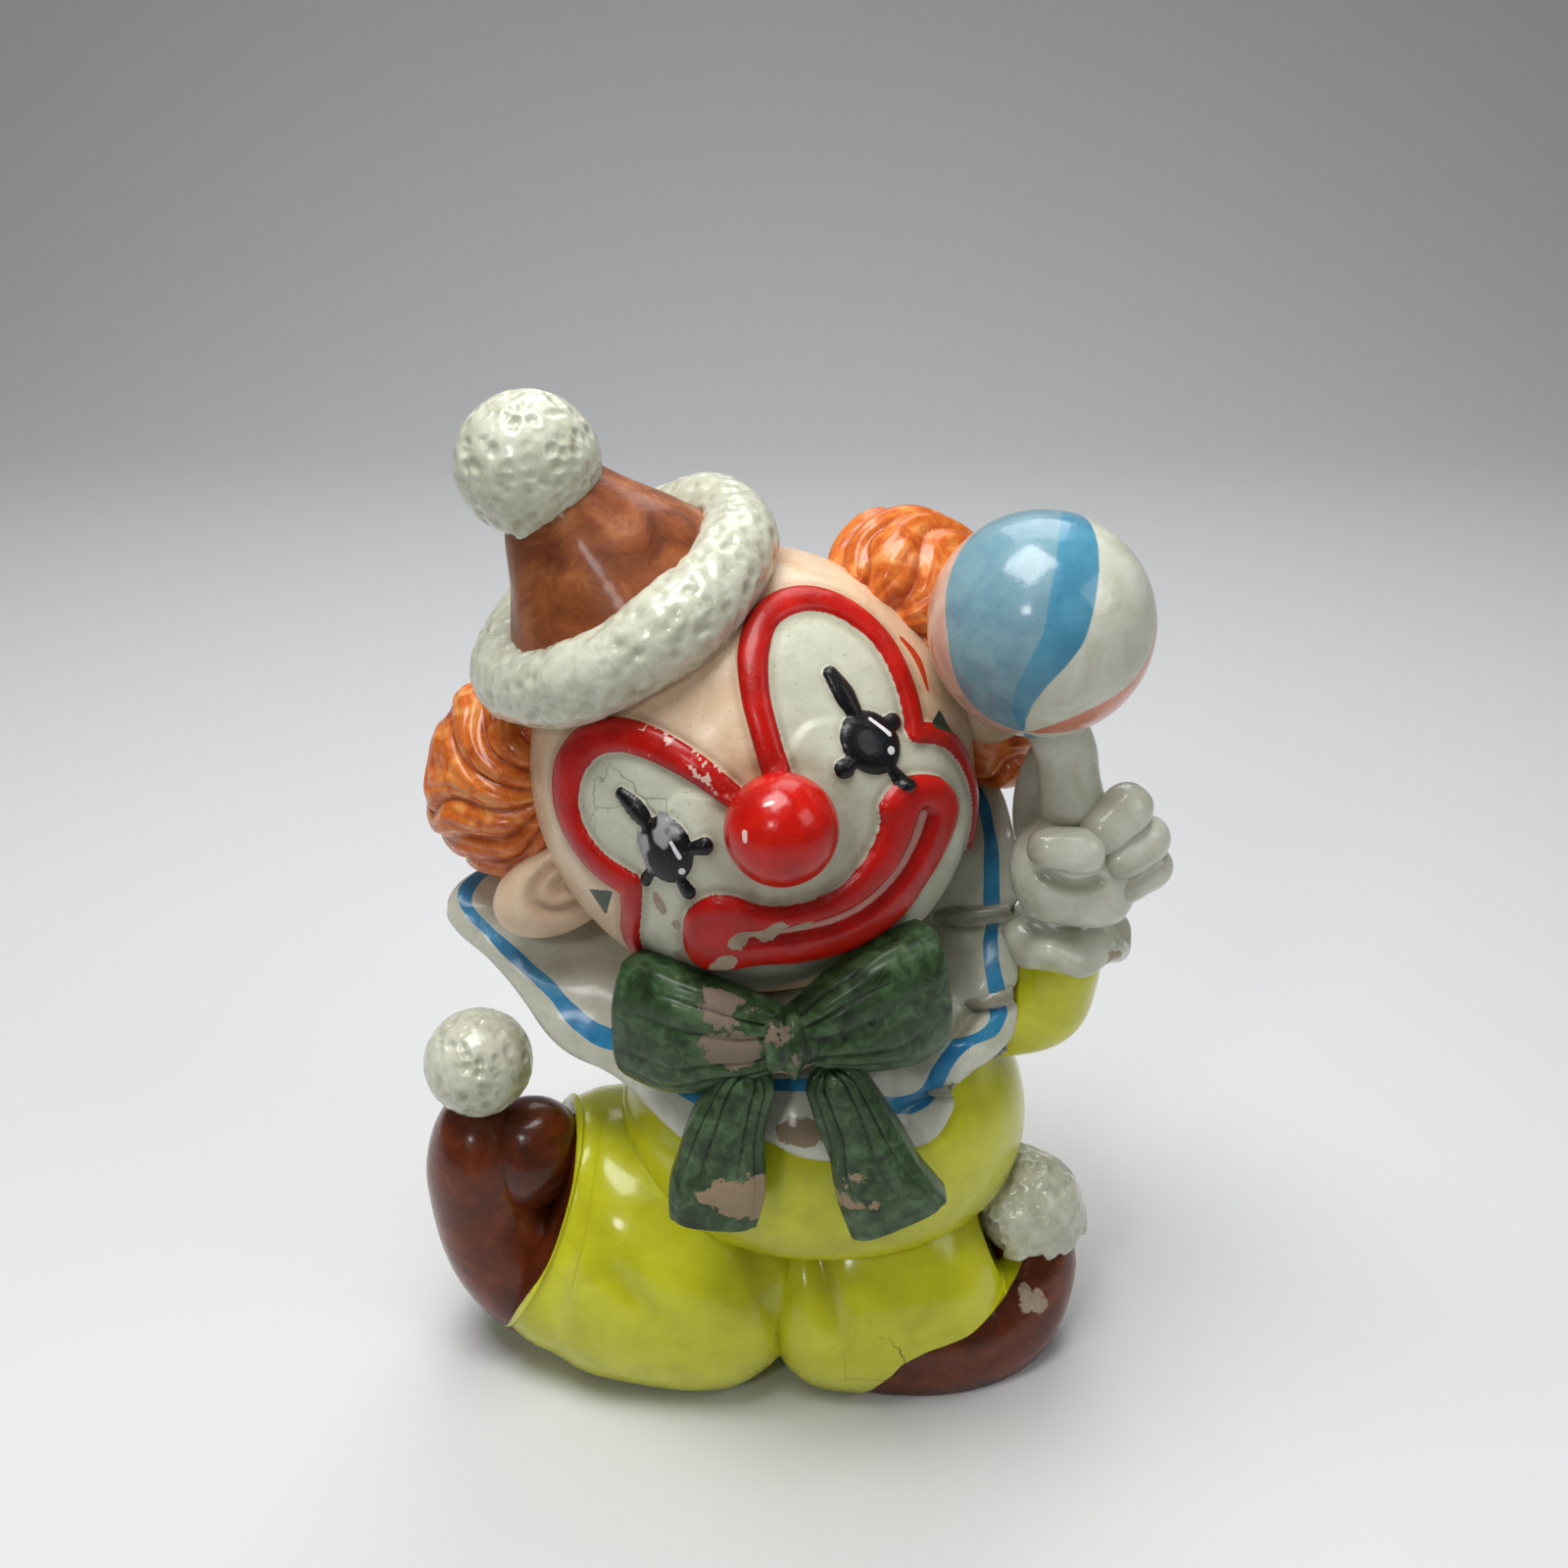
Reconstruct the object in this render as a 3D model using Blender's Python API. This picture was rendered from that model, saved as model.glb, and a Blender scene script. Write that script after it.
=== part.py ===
"""Clown figure holding a balloon: a hollow slip-cast earthenware ornament.

The figure stands on its own flat foot. Every casting and every modelled piece that was luted on
before the firing is an object of its own. Metres, +Z up, the clown faces -Y, and X runs to the right
as seen from the front. Sizes below are in millimetres and are turned to metres by MM.
"""

import math

import bmesh
import bpy
from mathutils import Matrix, Vector

MM = 0.001
JOINT_GAP = 0.3          # left between luted pieces
WALL = 4.0               # thickness of a slip-cast wall
FOOT_HOLE_RADIUS = 12.0  # pour hole under the body, open to the hollow
NECK_HOLE_RADIUS = 7.0   # vent between the body's hollow and the head's
FRAME_SHIFT = Vector((1.09, 4.95, 0.0))  # from the modelling axes to the middle of the base

# Head: an egg that leans to the clown's right, turned and lifted a little
HEAD_CENTRE = Vector((-5.5, -2.0, 119.5))
HEAD_RADII = Vector((39.0, 37.0, 40.5))
HEAD_ROLL = 28.0

# Hat: crown, rolled brim and pompom share one axis
HAT_BASE = Vector((-27.0, -4.0, 152.0))
HAT_AXIS = Vector((-0.503, -0.137, 0.855)).normalized()
BRIM_RADIUS, BRIM_THICKNESS = 22.5, 7.0
HAT_POMPOM_HEIGHT, HAT_POMPOM_RADIUS = 28.5, 12.2

BALLOON_CENTRE = Vector((42.0, -15.0, 151.5))
BALLOON_RADIUS = 18.6
NOSE_CENTRE, NOSE_RADIUS = Vector((-0.4, -42.0, 127.5)), 8.9
EYES = {"left": Vector((-18.4, -36.3, 122.0)), "right": Vector((13.1, -29.5, 137.2))}
MOUTH = [  # along the painted smile: x, y, z, half width, half thickness
    (-14.5, -35.5, 106.2, 4.6, 3.5), (-3.5, -36.0, 104.6, 3.8, 3.5), (7.5, -34.2, 107.3, 4.0, 3.5),
    (16.5, -30.2, 114.3, 4.0, 3.5), (25.0, -24.0, 123.6, 4.6, 3.5),
]
SHOE_POMPOM_RADIUS = 10.4

# Rim of the ruffled collar, once round from the middle of the chest towards the raised arm
COLLAR_RIM = [
    (3, -40, 64), (16, -38, 63), (27, -33, 64), (33, -28, 75), (41, -19, 74), (42, -14, 87),
    (43, -9, 96), (42, -4, 109), (38, 6, 115), (28, 20, 104), (14, 30, 92), (-4, 34, 88),
    (-24, 30, 90), (-42, 22, 93), (-58, 10, 95), (-63, 2, 92), (-55, -4, 88), (-45, -11, 82),
    (-38, -17, 75), (-29.5, -25, 70), (-16, -35, 65), (-6, -38, 66),
]
COLLAR_THICKNESS = 5.0
NECK = Vector((1.0, -1.0, 82.0))
NECK_RADIUS = 13.0

# Paint: linear base colour, roughness
PAINTS = {
    "yellow": ((0.62, 0.60, 0.03), 0.35),
    "cream": ((0.74, 0.58, 0.42), 0.45),
    "white": ((0.62, 0.62, 0.54), 0.40),
    "brown": ((0.16, 0.035, 0.012), 0.30),
    "red": ((0.62, 0.02, 0.01), 0.30),
    "orange": ((0.72, 0.16, 0.02), 0.35),
    "green": ((0.02, 0.09, 0.035), 0.45),
    "black": ((0.01, 0.01, 0.01), 0.45),
    "blue": ((0.10, 0.35, 0.55), 0.35),
}


def clear_scene():
    for found in list(bpy.data.objects):
        bpy.data.objects.remove(found, do_unlink=True)


def new_collection(name):
    collection = bpy.data.collections.new(name)
    bpy.context.scene.collection.children.link(collection)
    return collection


def paint(name):
    """The glazed paint of that name, made once."""
    material = bpy.data.materials.get(name)
    if material is None:
        colour, roughness = PAINTS[name]
        material = bpy.data.materials.new(name)
        material.use_nodes = True
        shader = material.node_tree.nodes["Principled BSDF"]
        shader.inputs["Base Color"].default_value = (*colour, 1.0)
        shader.inputs["Roughness"].default_value = roughness
        shader.inputs["Metallic"].default_value = 0.0
    return material


def smooth_path(stations, t):
    """A Catmull-Rom curve through the stations, all their numbers alike, at t from 0 to 1."""
    spans = len(stations) - 1
    at = min(max(t, 0.0), 1.0) * spans
    i = min(int(at), spans - 1)
    u = at - i
    before, after = stations[max(i - 1, 0)], stations[min(i + 2, spans)]
    here, there = stations[i], stations[i + 1]
    return [
        0.5 * (2 * b + (c - a) * u + (2 * a - 5 * b + 4 * c - d) * u ** 2 + (3 * b - a - 3 * c + d) * u ** 3)
        for a, b, c, d in zip(before, here, there, after)
    ]


def round_end(t, ends):
    """How much of its full section a form has at t: a quarter circle at either end."""
    first, last = ends
    share = min(t / first, (1.0 - t) / last, 1.0)
    return math.sqrt(max(0.0, 1.0 - (1.0 - share) ** 2))


def ball_mesh(name, segments, rings):
    mesh = bpy.data.meshes.new(name)
    work = bmesh.new()
    bmesh.ops.create_uvsphere(work, u_segments=segments, v_segments=rings, radius=1.0)
    work.to_mesh(mesh)
    work.free()
    return mesh


class Figure:
    """Keeps the collections, and cuts each piece clear of its neighbours."""

    def __init__(self):
        self.pieces = new_collection("clown_figure")
        self.cutters = new_collection("cutters")
        self.stand = bpy.data.objects.new("figure_frame", None)
        self.stand.location = FRAME_SHIFT * MM
        self.pieces.objects.link(self.stand)

    def place(self, name, mesh, colour, helper=False, at=(0, 0, 0), turn=None):
        made = bpy.data.objects.new(name, mesh)
        mesh.shade_smooth()
        (self.cutters if helper else self.pieces).objects.link(made)
        made.parent = self.stand
        made.location = Vector(at) * MM
        if turn:
            made.rotation_euler = turn.to_euler()
        if helper:
            made.hide_render = True
            made.display_type = "WIRE"
        else:
            mesh.materials.append(paint(colour))
        return made

    def form(self, name, colour, stations, side=(0, 1, 0), ends=(0.2, 0.2), segments=20, rings=12,
             helper=False):
        """A rounded form along a path. A station is x, y, z, half size across, half size along side."""
        mesh = ball_mesh(name, segments, rings)
        lean = Vector(side)
        for vertex in mesh.vertices:
            t = (1.0 - vertex.co.z) / 2.0
            x, y, z, across, deep = smooth_path(stations, t)
            ahead = Vector(smooth_path(stations, t + 0.02)[:3])
            behind = Vector(smooth_path(stations, t - 0.02)[:3])
            along = (ahead - behind).normalized()
            deep_way = (lean - along * lean.dot(along)).normalized()
            across_way = deep_way.cross(along)
            angle = math.atan2(vertex.co.y, vertex.co.x)
            full = round_end(t, ends)
            offset = across_way * across * math.cos(angle) + deep_way * deep * math.sin(angle)
            vertex.co = (Vector((x, y, z)) + offset * full - Vector(stations[0][:3])) * MM
        self.settle(mesh)
        return self.place(name, mesh, colour, helper, at=stations[0][:3])

    def ellipsoid(self, name, colour, centre, radii, turn=None, segments=20, rings=12, helper=False):
        mesh = ball_mesh(name, segments, rings)
        mesh.transform(Matrix.Diagonal((*(size * MM for size in radii), 1.0)))
        return self.place(name, mesh, colour, helper, at=centre, turn=turn)

    def cylinder(self, name, foot, top, radius, segments=20):
        """A straight cutter from foot to top."""
        mesh = bpy.data.meshes.new(name)
        work = bmesh.new()
        way = Vector(top) - Vector(foot)
        bmesh.ops.create_cone(work, cap_ends=True, segments=segments, radius1=radius * MM,
                              radius2=radius * MM, depth=way.length * MM)
        work.to_mesh(mesh)
        work.free()
        return self.place(name, mesh, None, helper=True, at=Vector(foot) + way / 2,
                          turn=way.to_track_quat("Z", "Y").to_matrix())

    @staticmethod
    def settle(mesh):
        """Fixes each quad's diagonal, so that a grown copy folds the same way, and faces all outwards."""
        work = bmesh.new()
        work.from_mesh(mesh)
        bmesh.ops.triangulate(work, faces=work.faces)
        bmesh.ops.recalc_face_normals(work, faces=work.faces)
        work.to_mesh(mesh)
        work.free()

    def grown(self, piece, by=JOINT_GAP):
        """The piece's plain form, grown on all sides, as a cutter."""
        name = f"{piece.name}_grown"
        found = bpy.data.objects.get(name)
        if found is None:
            found = self.place(name, piece.data.copy(), None, helper=True)
            found.matrix_basis = piece.matrix_basis
            swell = found.modifiers.new("swell", "DISPLACE")
            swell.strength = by * MM
            swell.mid_level = 0.0
        return found

    def boolean(self, piece, operation, other):
        step = piece.modifiers.new(f"{operation.lower()} {other.name}", "BOOLEAN")
        step.operation = operation
        step.solver = "EXACT"
        step.object = other

    def give_way(self):
        """Cuts every piece clear of those placed before it, wherever the two could meet."""
        placed = [found for found in self.pieces.objects if found.type == "MESH"]
        spans = {piece.name: self.span(piece) for piece in placed}
        for later, piece in enumerate(placed):
            low, high = spans[piece.name]
            for neighbour in placed[:later]:
                other_low, other_high = spans[neighbour.name]
                if all(low[i] < other_high[i] and other_low[i] < high[i] for i in range(3)):
                    self.boolean(piece, "DIFFERENCE", self.grown(neighbour))

    @staticmethod
    def span(piece):
        """Lowest and highest corner of the plain form, with the gap round it."""
        spots = [piece.matrix_basis @ vertex.co for vertex in piece.data.vertices]
        low = [min(spot[i] for spot in spots) - JOINT_GAP * MM for i in range(3)]
        high = [max(spot[i] for spot in spots) + JOINT_GAP * MM for i in range(3)]
        return low, high

    @staticmethod
    def stand_on_floor(piece):
        """Slices the form flat where it would go below the floor."""
        work = bmesh.new()
        work.from_mesh(piece.data)
        whole = work.verts[:] + work.edges[:] + work.faces[:]
        floor = (0, 0, -piece.location.z)
        sliced = bmesh.ops.bisect_plane(work, geom=whole, plane_co=floor, plane_no=(0, 0, 1),
                                        clear_inner=True)
        rim = [found for found in sliced["geom_cut"] if isinstance(found, bmesh.types.BMEdge)]
        bmesh.ops.triangulate(work, faces=bmesh.ops.contextual_create(work, geom=rim)["faces"])
        bmesh.ops.recalc_face_normals(work, faces=work.faces)
        work.to_mesh(piece.data)
        work.free()

    def hollow(self, torso, head, left, right):
        """Empties the body and the head, and opens the hollow through the foot."""
        inside = self.form("torso_hollow", None, [
            (8, -3, 30, 28, 21), (8, -4, 44, 35.5, 29), (7.5, -4, 56, 34, 29), (5.5, -3, 67, 25, 22),
            (1, -2, 78, 11, 10)], segments=18, rings=9, helper=True)
        self.boolean(torso, "DIFFERENCE", inside)
        foot = self.cylinder("foot_hole", (7, 0, -2), (7, 0, 40), FOOT_HOLE_RADIUS)
        for piece in (torso, left, right):
            self.boolean(piece, "DIFFERENCE", foot)
        skull = self.ellipsoid("head_hollow", None, HEAD_CENTRE, HEAD_RADII - Vector((WALL,) * 3),
                               Matrix.Rotation(math.radians(-HEAD_ROLL), 3, "Y"), 18, 12, helper=True)
        self.boolean(head, "DIFFERENCE", skull)
        neck = self.cylinder("neck_hole", (1, -1, 70), (-1, -1, 90), NECK_HOLE_RADIUS)
        for piece in (torso, head, bpy.data.objects["collar"]):
            self.boolean(piece, "DIFFERENCE", neck)

    def collar(self):
        """The ruffled cape collar: a ring whose rim is lifted, dropped and folded."""
        count, steps = 66, 5
        rim = COLLAR_RIM + COLLAR_RIM[:1]
        work = bmesh.new()
        rings = []
        for i in range(count):
            edge = Vector(smooth_path(rim, i / count))
            angle = math.atan2(edge.y - NECK.y, edge.x - NECK.x)
            root = NECK + Vector((math.cos(angle), math.sin(angle), 0.0)) * NECK_RADIUS
            shoulder = root.lerp(edge, 0.62)
            shoulder.z = max(root.z, edge.z) * 0.55 + (root.z + edge.z) * 0.225 + 3.0
            top, under = [], []
            for k in range(steps):
                t = k / (steps - 1)
                point = root * (1 - t) ** 2 + shoulder * (2 * t * (1 - t)) + edge * t * t
                top.append(work.verts.new(point * MM))
                inward = (NECK - point).normalized() * 0.8
                under.append(work.verts.new((point + inward - Vector((0, 0, COLLAR_THICKNESS))) * MM))
            rings.append(top + under[::-1])
        for ring, following in zip(rings, rings[1:] + rings[:1]):
            for k in range(2 * steps):
                n = (k + 1) % (2 * steps)
                work.faces.new((ring[k], ring[n], following[n], following[k]))
        mesh = bpy.data.meshes.new("collar")
        bmesh.ops.triangulate(work, faces=work.faces)
        bmesh.ops.recalc_face_normals(work, faces=work.faces)
        work.to_mesh(mesh)
        work.free()
        return self.place("collar", mesh, "white")

    def body(self):
        torso = self.form("torso", "yellow", [
            (8, -3, 30, 34, 27), (7.5, -4, 44, 39, 33), (7.5, -4, 56, 38, 33), (5.5, -3, 70, 29, 26),
            (1, -2, 83, 15, 14)], segments=26, rings=14)
        head = self.ellipsoid("head", "cream", HEAD_CENTRE, HEAD_RADII,
                              Matrix.Rotation(math.radians(-HEAD_ROLL), 3, "Y"), 28, 18)
        self.form("shoe_right", "brown", [
            (10, -17, 5, 11, 13), (26, -20, 6, 13.5, 12.5), (40, -16, 7.5, 13.5, 12.5),
            (47.5, -11, 15, 10.5, 11.5), (48.5, -10, 27, 8, 9)], segments=18, rings=14)
        left = self.form("trouser_leg_left", "yellow", [
            (6, -3, 15, 20, 26), (-12, -6, 18, 27.5, 31), (-30, -7, 21, 28, 29.5),
            (-42, -7, 23.5, 26.5, 25), (-49.5, -8, 26.5, 23.5, 20)], ends=(0.25, 0.05), segments=22, rings=12)
        right = self.form("trouser_leg_right", "yellow", [
            (-2, -3, 14, 21, 27), (14, -6, 16, 26, 31), (30, -6, 18, 25, 28),
            (43.5, -4, 21, 20, 18)], ends=(0.25, 0.12), segments=22, rings=12)
        self.collar()
        return torso, head, left, right

    def face(self):
        self.ellipsoid("nose", "red", NOSE_CENTRE, (NOSE_RADIUS,) * 3, segments=16, rings=10)
        self.form("mouth", "red", MOUTH, side=(0, 1, 0.3), ends=(0.1, 0.1), segments=8, rings=16)
        for side, centre in EYES.items():
            self.ellipsoid(f"eye_{side}", "black", centre, (5.2, 3.0, 5.6),
                           Matrix.Rotation(math.radians(-HEAD_ROLL), 3, "Y"), 16, 10)
        roll = Matrix.Rotation(math.radians(-HEAD_ROLL), 3, "Y")
        self.ellipsoid("ear_left", "cream", (-41, -8, 98.5), (12, 7, 7.5), roll, 16, 10)
        self.ellipsoid("ear_right", "cream", (35, 1, 133), (8, 6, 10), roll, 16, 10)

    def hat(self):
        bpy.ops.mesh.primitive_torus_add(major_radius=BRIM_RADIUS * MM, minor_radius=BRIM_THICKNESS * MM,
                                         major_segments=32, minor_segments=10)
        ring = bpy.context.object
        mesh = ring.data
        bpy.data.objects.remove(ring)
        mesh.name = "hat_brim"
        self.place("hat_brim", mesh, "white", at=HAT_BASE,
                   turn=HAT_AXIS.to_track_quat("Z", "Y").to_matrix())
        self.ellipsoid("hat_pompom", "white", HAT_BASE + HAT_AXIS * HAT_POMPOM_HEIGHT,
                       (HAT_POMPOM_RADIUS,) * 3, segments=16, rings=10)
        crown = [(*(HAT_BASE + HAT_AXIS * rise), size, size)
                 for rise, size in ((-6, 22), (2, 21), (9, 17.5), (16, 12.5), (23, 8))]
        self.form("hat_crown", "brown", crown, ends=(0.1, 0.1), segments=20, rings=10)

    def hair(self):
        self.ellipsoid("hair_left", "orange", (-48, 5, 114), (17, 14, 20), segments=16, rings=10)
        self.form("hair_right", "orange", [
            (8, 9, 150, 10, 11), (22, 9, 149, 14, 14), (33, 9, 138, 12, 13), (38, 9, 124, 10, 10),
            (39, 7, 113, 7, 8)], ends=(0.15, 0.12), segments=14, rings=10)
        self.ellipsoid("hair_back", "orange", (-5, 13, 121), (38, 28, 33), segments=22, rings=12)

    def bow(self):
        self.ellipsoid("bow_knot", "green", (0.8, -39.5, 86), (4.8, 5, 5.8), segments=14, rings=8)
        self.form("bow_loop_left", "green", [
            (1, -39, 86, 4, 4), (-9, -38, 86, 9, 5.5), (-19, -35, 86, 11.5, 6.5),
            (-27, -30, 86.5, 11, 5.5)], ends=(0.1, 0.12), segments=12, rings=9)
        self.form("bow_loop_right", "green", [
            (1, -39, 86, 4, 4), (10, -38, 89, 9, 5.5), (18, -35, 91, 11.5, 6.5),
            (26, -30, 92, 11.5, 5.5)], ends=(0.1, 0.12), segments=12, rings=9)
        self.form("bow_tail_left", "green", [
            (-1.5, -40.5, 81, 4, 3.3), (-5, -41, 71, 7.5, 4), (-9, -42, 60, 9.5, 4.5),
            (-12.5, -42, 50, 9, 4.5)], ends=(0.1, 0.07), segments=12, rings=9)
        self.form("bow_tail_right", "green", [
            (3.3, -40.7, 81, 4, 3.2), (8, -41, 71, 6.5, 4), (14.5, -42, 60, 8.5, 4.5),
            (20, -41, 50, 10.5, 4.5)], ends=(0.1, 0.07), segments=12, rings=9)

    def raised_arm(self):
        self.ellipsoid("balloon", "blue", BALLOON_CENTRE, (BALLOON_RADIUS,) * 3, segments=24, rings=14)
        self.form("balloon_stem", "white", [
            (44, -15, 138, 5.6, 5.6), (47.7, -15, 128, 5.2, 5.2), (49.5, -17, 116, 6, 6)],
                  segments=14, rings=8)
        self.ellipsoid("glove_palm", "white", (50, -17, 106.5), (11, 8.5, 10.5), segments=16, rings=10)
        fingers = {
            "thumb": ((44, -24, 115.4), (51, -24.5, 114.6), 4.4),
            "index_finger": ((52.5, -22, 117), (59.5, -18, 123), 4.8),
            "middle_finger": ((57, -21, 112), (64.5, -16, 115), 4.6),
            "ring_finger": ((59, -19, 105.5), (66, -14, 107.5), 4.0),
        }
        for name, (root, tip, size) in fingers.items():
            middle = (Vector(root) + Vector(tip)) / 2
            self.form(name, "white", [(*root, size, size), (*middle, size, size), (*tip, size, size)],
                      side=(0.2, 1, 0), ends=(0.35, 0.35), segments=12, rings=8)
        self.ellipsoid("cuff_raised", "white", (50.5, -13.5, 92), (11.5, 11, 4.8), segments=18, rings=10)
        self.form("sleeve_raised", "yellow", [
            (24, 0, 78, 12, 12), (38, -6, 76, 12.5, 12), (47, -10, 79, 10, 11),
            (50.5, -13, 94, 7, 8)], segments=14, rings=9)

    def rear_arm(self):
        self.form("sleeve_behind", "yellow", [
            (-14, 14, 80, 11, 11), (-19, 26, 68, 10.5, 10), (-9, 31, 57, 8.5, 8.5)],
                  side=(1, 0, 0), segments=16, rings=10)
        self.ellipsoid("cuff_behind", "white", (-1, 31, 55), (4, 8.5, 9), segments=16, rings=10)
        self.ellipsoid("glove_behind", "white", (10, 30, 56), (9, 6, 7), segments=16, rings=10)

    def shoes(self):
        radius = SHOE_POMPOM_RADIUS
        self.ellipsoid("shoe_pompom_left", "white", (-57, -12, 64), (radius,) * 3, segments=14, rings=9)
        self.ellipsoid("shoe_pompom_right", "white", (47.5, -12, 31), (radius,) * 3, segments=14, rings=9)
        self.form("shoe_left", "brown", [
            (-24, -4, 8, 10, 15), (-40, -8, 9, 11.5, 15), (-52, -10, 18, 12.5, 15),
            (-58, -9, 36, 11.5, 13), (-57.5, -9.5, 54, 9.5, 11)], segments=16, rings=12)


def main():
    clear_scene()
    figure = Figure()
    torso, head, left, right = figure.body()
    figure.face()
    figure.hat()
    figure.hair()
    figure.bow()
    figure.raised_arm()
    figure.rear_arm()
    figure.shoes()
    for name in ("trouser_leg_left", "trouser_leg_right", "shoe_left", "shoe_right"):
        figure.stand_on_floor(bpy.data.objects[name])
    figure.give_way()
    figure.hollow(torso, head, left, right)


if __name__ == "__main__":
    main()
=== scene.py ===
"""Visual model of a cold-painted slip-cast clown that holds up a ball balloon.

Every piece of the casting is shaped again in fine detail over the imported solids, in the same axes, and is
dressed in acrylic paint over bisque with an antique wash, dust and chips. Sizes below are in millimetres in
the potter's axes: +Z up, the clown faces -Y, and the middle of the base is at FOOT_CENTRE from the origin.
"""

import logging
import math
from dataclasses import dataclass, field, replace
from enum import Enum

import bmesh
import bpy
import numpy as np
from mathutils import Matrix, Vector


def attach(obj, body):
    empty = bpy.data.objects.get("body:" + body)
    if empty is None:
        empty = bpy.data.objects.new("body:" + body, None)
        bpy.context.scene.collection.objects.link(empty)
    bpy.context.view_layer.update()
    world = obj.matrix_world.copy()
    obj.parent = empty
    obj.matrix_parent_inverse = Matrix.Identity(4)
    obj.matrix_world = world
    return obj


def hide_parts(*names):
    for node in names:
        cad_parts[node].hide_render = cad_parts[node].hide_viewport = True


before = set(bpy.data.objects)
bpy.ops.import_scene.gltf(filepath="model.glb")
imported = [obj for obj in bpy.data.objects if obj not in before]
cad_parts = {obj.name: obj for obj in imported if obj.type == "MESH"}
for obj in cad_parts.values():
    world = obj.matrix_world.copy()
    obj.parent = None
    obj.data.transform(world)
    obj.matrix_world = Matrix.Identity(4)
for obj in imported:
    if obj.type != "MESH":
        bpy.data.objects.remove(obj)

LOG = logging.getLogger("clown")
MM = 0.001
FOOT_CENTRE = np.array([1.09, 4.95, 0.0])
SMEAR_SIZE, EDGE_SIZE, FLAKE_SIZE, DUST_SIZE, CRAZE_SIZE = 3.5, 1.6, 4.5, 0.55, 11.0
PAINT_IOR, PAINT_SPECULAR, SEALER_ROUGHNESS = 1.49, 0.28, 0.12
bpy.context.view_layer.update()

Array = np.ndarray
Station = tuple[float, ...]
Socket = bpy.types.NodeSocket


# ---- arithmetic --------------------------------------------------


def unit(way: Array) -> Array:
    """The rows of way at length one."""
    return way / np.maximum(np.linalg.norm(way, axis=-1, keepdims=True), 1e-9)


def step(low: float, high: float, value: Array) -> Array:
    """A soft step from 0 at low to 1 at high."""
    share = np.clip((value - low) / (high - low), 0.0, 1.0)
    return share * share * (3.0 - 2.0 * share)


def bell(value: Array, middle: float, width: float) -> Array:
    """A bump of height one at middle, nearly gone at twice the width from it."""
    return np.exp(-(((value - middle) / width) ** 2))


def blob(spots: Array, centre: Station, spread: float) -> Array:
    """A round bump of height one at a point; its spread is in square millimetres."""
    return np.exp(-((spots - np.array(centre, float)) ** 2).sum(axis=1) / spread)


def along(stations: list[Station], t: Array, closed: bool = False) -> Array:
    """A Catmull-Rom curve through the stations.

    Args:
        stations: points of any number of values each.
        t: places along the curve, 0 to 1.
        closed: whether the last station leads back to the first.

    Returns:
        One row of values for each place.
    """
    knots = np.array(stations, float)
    count = len(knots)
    spans = count if closed else count - 1
    at = np.clip(t, 0.0, 1.0) * spans
    first = np.minimum(at.astype(int), spans - 1)
    u = (at - first)[:, None]
    if closed:
        a, b, c, d = (knots[(first + k) % count] for k in (-1, 0, 1, 2))
    else:
        a, b, c, d = (knots[np.clip(first + k, 0, count - 1)] for k in (-1, 0, 1, 2))
    bend = (2 * a - 5 * b + 4 * c - d) * u**2
    return 0.5 * (2 * b + (c - a) * u + bend + (3 * b - a - 3 * c + d) * u**3)


def lattice(cell: Array, seed: int) -> Array:
    """A steady number from 0 to 1 for each whole-numbered cell, by mixing with large primes."""
    mixed = (cell[..., 0] * 73856093) ^ (cell[..., 1] * 19349663) ^ (cell[..., 2] * 83492791)
    mixed ^= seed * 2654435
    mixed = (mixed ^ (mixed >> 13)) * 1274126177
    return ((mixed ^ (mixed >> 16)) & 0xFFFF) / 65535.0


def lumps(spots: Array, size: float, seed: int = 1) -> Array:
    """Smooth noise from -1 to 1, with lumps of about the given size."""
    at = spots / size + 1000.0
    cell = np.floor(at).astype(np.int64)
    part = at - cell
    part = part * part * (3 - 2 * part)
    total = np.zeros(len(spots))
    for corner in range(8):
        offset = np.array([corner & 1, (corner >> 1) & 1, (corner >> 2) & 1])
        weight = np.prod(np.where(offset, part, 1 - part), axis=1)
        total += weight * lattice(cell + offset, seed)
    return total * 2.0 - 1.0


def pits(spots: Array, size: float, seed: int = 1) -> Array:
    """Distance to the nearest of a scatter of points, in shares of the size between them."""
    at = spots / size + 1000.0
    cell = np.floor(at).astype(np.int64)
    best = np.full(len(spots), 9.0)
    for corner in range(27):
        near = cell + np.array([corner % 3 - 1, corner // 3 % 3 - 1, corner // 9 - 1])
        jitter = np.stack([lattice(near, seed + k) for k in (11, 23, 37)], axis=1)
        best = np.minimum(best, np.linalg.norm(near + jitter - at, axis=1))
    return best


def line_distance(spots: Array, line: Array) -> tuple[Array, Array]:
    """How far spots are from a broken line, and where along it.

    Args:
        spots: points in a plane or in space.
        line: the line's points, evenly placed.

    Returns:
        The distances, and the places along the line from 0 to 1.
    """
    best = np.full(len(spots), 1e9)
    where = np.zeros(len(spots))
    for i in range(len(line) - 1):
        way = line[i + 1] - line[i]
        share = np.clip((spots - line[i]) @ way / max(way @ way, 1e-9), 0, 1)
        far = np.linalg.norm(spots - line[i] - share[:, None] * way, axis=1)
        closer = far < best
        best[closer] = far[closer]
        where[closer] = (i + share[closer]) / (len(line) - 1)
    return best, where


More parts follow.
